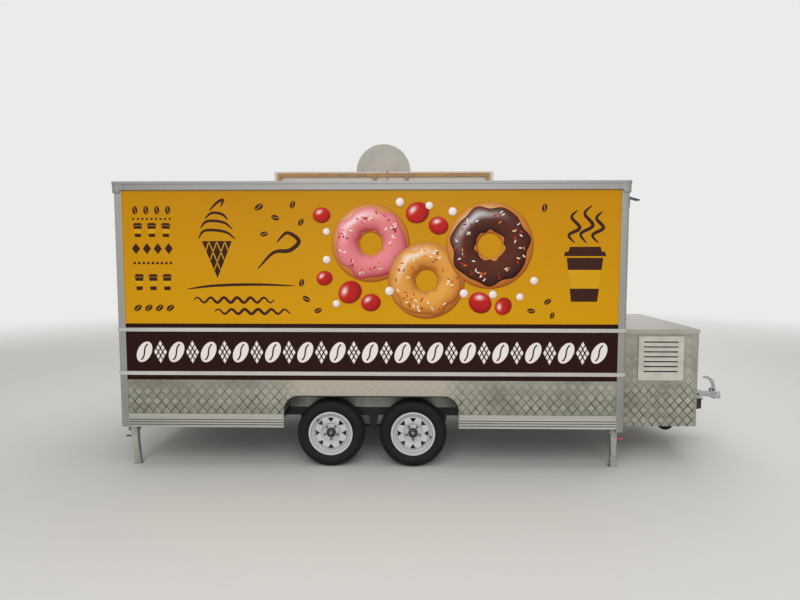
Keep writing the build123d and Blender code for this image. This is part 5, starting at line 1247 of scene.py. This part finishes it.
def bandShapes(b):
    light, lines = [], []
    for k, x in enumerate(np.linspace(*b["row"])):
        z = b["middle"]
        if k % 2 == 0:
            shape, slit = bean(x, z, b["bean"], b["lean"], "white", wallFilm["brown"])
            light += shape
            lines += slit
            continue
        w, h = b["lozenge"]
        light.append((ellipse(x, z, w, h, n=4), "white"))
        edges = np.array([(w, h), (w, -h)]) / 2
        for share in (-1 / 3, 1 / 3):
            for along, across in (edges, edges[::-1]):
                middle = np.array([x, z]) + share * across
                lines.append((ribbon([middle - along, middle + along], b["line"]), wallFilm["brown"]))
    return light, lines


white, brownLines = bandShapes(bandRow)
filmShapes("bandMotif", white)
filmShapes("bandMotifLines", brownLines, 2)


# Serving side: the same band, and the small motifs beside the hatch. The hatch carries a row of beans and dots
shelfLow, shelfHigh = (np.array(c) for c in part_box("counter_shelf"))


def besideShelf(shapes):  # those that lie clear of the folded shelf
    low, high = shelfLow[0] - xRear - 0.09, shelfHigh[0] - xRear + 0.09
    return [s for s in shapes if not low < np.mean(s[0], axis=0)[0] < high]


filmShapes("farBandMotif", besideShelf(white), wall="far")
filmShapes("farBandMotifLines", besideShelf(brownLines), 2, "far")
filmShapes("farCupMotif", cupShapes, wall="far")
filmShapes("farCupMotifLight", sleeve, 2, "far")
filmShapes("farConeMotif", shifted(coneShapes, 0.72, -0.12), wall="far")
filmShapes("farConeMotifLight", shifted(coneLines, 0.72, -0.12), 2, "far")
hatchRow, hatchSlits = [], []
for k in range(17):
    x = 0.99 + 0.1525 * k
    if k % 2:
        hatchRow.append((ellipse(x, 1.52, 0.020), "brown"))
    else:
        shape, slit = bean(x, 1.52, 0.052, 90 if k % 4 else 35)
        hatchRow += shape
        hatchSlits += slit
hatchRow.append((ribbon([(0.99, 1.42), (3.43, 1.42)], 0.012), "brown"))
hatchRow.append((ribbon([(0.99, 1.62), (3.43, 1.62)], 0.012), "brown"))
filmShapes("hatchMotif", hatchRow, 1, "far", "serving_hatch")
filmShapes("hatchMotifLight", hatchSlits, 2, "far", "serving_hatch")
print("artwork done")


# Camera, lamps and floor

view = {"place": (-0.289, -6.184, 1.882), "tilt": 85.69, "turn": 1.20, "lens": 27.0}
camera = bpy.data.objects.new("camera", bpy.data.cameras.new("camera"))
camera.location = view["place"]
camera.rotation_euler = (radians(view["tilt"]), 0, radians(view["turn"]))
camera.data.lens = view["lens"]
camera.data.sensor_width = 36
camera.data.clip_end = 200
bpy.context.scene.collection.objects.link(camera)
bpy.context.scene.camera = camera

lamps = {  # place, size, power, points at
    "skyFront": ((-0.6, -9.4, 5.6), 9.0, 560, (-0.4, 0, 1.2)),
    "skyAbove": ((0.5, 1.5, 10.0), 10.0, 420, (-0.4, 0, 1.2)),
    "skyBehind": ((2.0, 10.0, 5.6), 9.0, 330, (-0.4, 0, 1.2)),
}
for name, (place, size, power, target) in lamps.items():
    light = bpy.data.lights.new(name, "AREA")
    light.size, light.energy = size, power
    lamp = bpy.data.objects.new(name, light)
    lamp.location = place
    away = np.array(place) - np.array(target)
    lamp.rotation_euler = (np.arctan2(np.hypot(away[0], away[1]), away[2]), 0, np.arctan2(away[0], -away[1]))
    bpy.context.scene.collection.objects.link(lamp)

studio = {"backdrop": "#EBEBE9", "floor": "#D6D5D2", "light": 0.5, "paleFrom": 7.0, "paleTo": 16.0}
world = bpy.data.worlds.new("studio")
world.use_nodes = True
bpy.context.scene.world = world
sky = world.node_tree
back = sky.nodes["Background"]
back.inputs["Color"].default_value = linearColour(studio["backdrop"])


def seenRays(tree):  # one for a ray of the camera, or that one mirrored or passed through glass
    rays = addNode(tree, "ShaderNodeLightPath").node
    seen = addNode(tree, "ShaderNodeMath", {0: rays.outputs["Is Camera Ray"],
                                            1: rays.outputs["Is Transmission Ray"]}, operation="MAXIMUM")
    return addNode(tree, "ShaderNodeMath", {0: seen, 1: rays.outputs["Is Glossy Ray"]}, operation="MAXIMUM")


strength = addNode(sky, "ShaderNodeMapRange", {"Value": seenRays(sky), "To Min": studio["light"], "To Max": 1.0})
sky.links.new(strength, back.inputs["Strength"])

# The floor is matt and takes the shadow, and further out it turns to the backdrop's own colour
ground, tree, shader, place = startMaterial("paleFloor", studio["floor"], 0.9)
away = addNode(tree, "ShaderNodeVectorMath", {0: place}, out="Value", operation="LENGTH")
pale = addNode(tree, "ShaderNodeMapRange", {"Value": away, "From Min": studio["paleFrom"],
                                            "From Max": studio["paleTo"]}, interpolation_type="SMOOTHSTEP")
pale = addNode(tree, "ShaderNodeMath", {0: pale, 1: seenRays(tree)}, operation="MULTIPLY")
glow = addNode(tree, "ShaderNodeEmission", {"Color": studio["backdrop"], "Strength": 1.0})
both = addNode(tree, "ShaderNodeMixShader", {0: pale, 1: shader.outputs["BSDF"], 2: glow})
tree.links.new(both, tree.nodes["Material Output"].inputs["Surface"])
floorPoints, floorFaces = boxShape((-60, -60, -0.05), (60, 60, 0))
floorMesh = bpy.data.meshes.new("studioFloor")
floorMesh.from_pydata(floorPoints.tolist(), [], floorFaces)
floorMesh.materials.append(ground)
studioFloor = bpy.data.objects.new("studioFloor", floorMesh)
bpy.context.scene.collection.objects.link(studioFloor)

bpy.context.scene.view_settings.view_transform = "Standard"
print("camera, lamps and floor done")
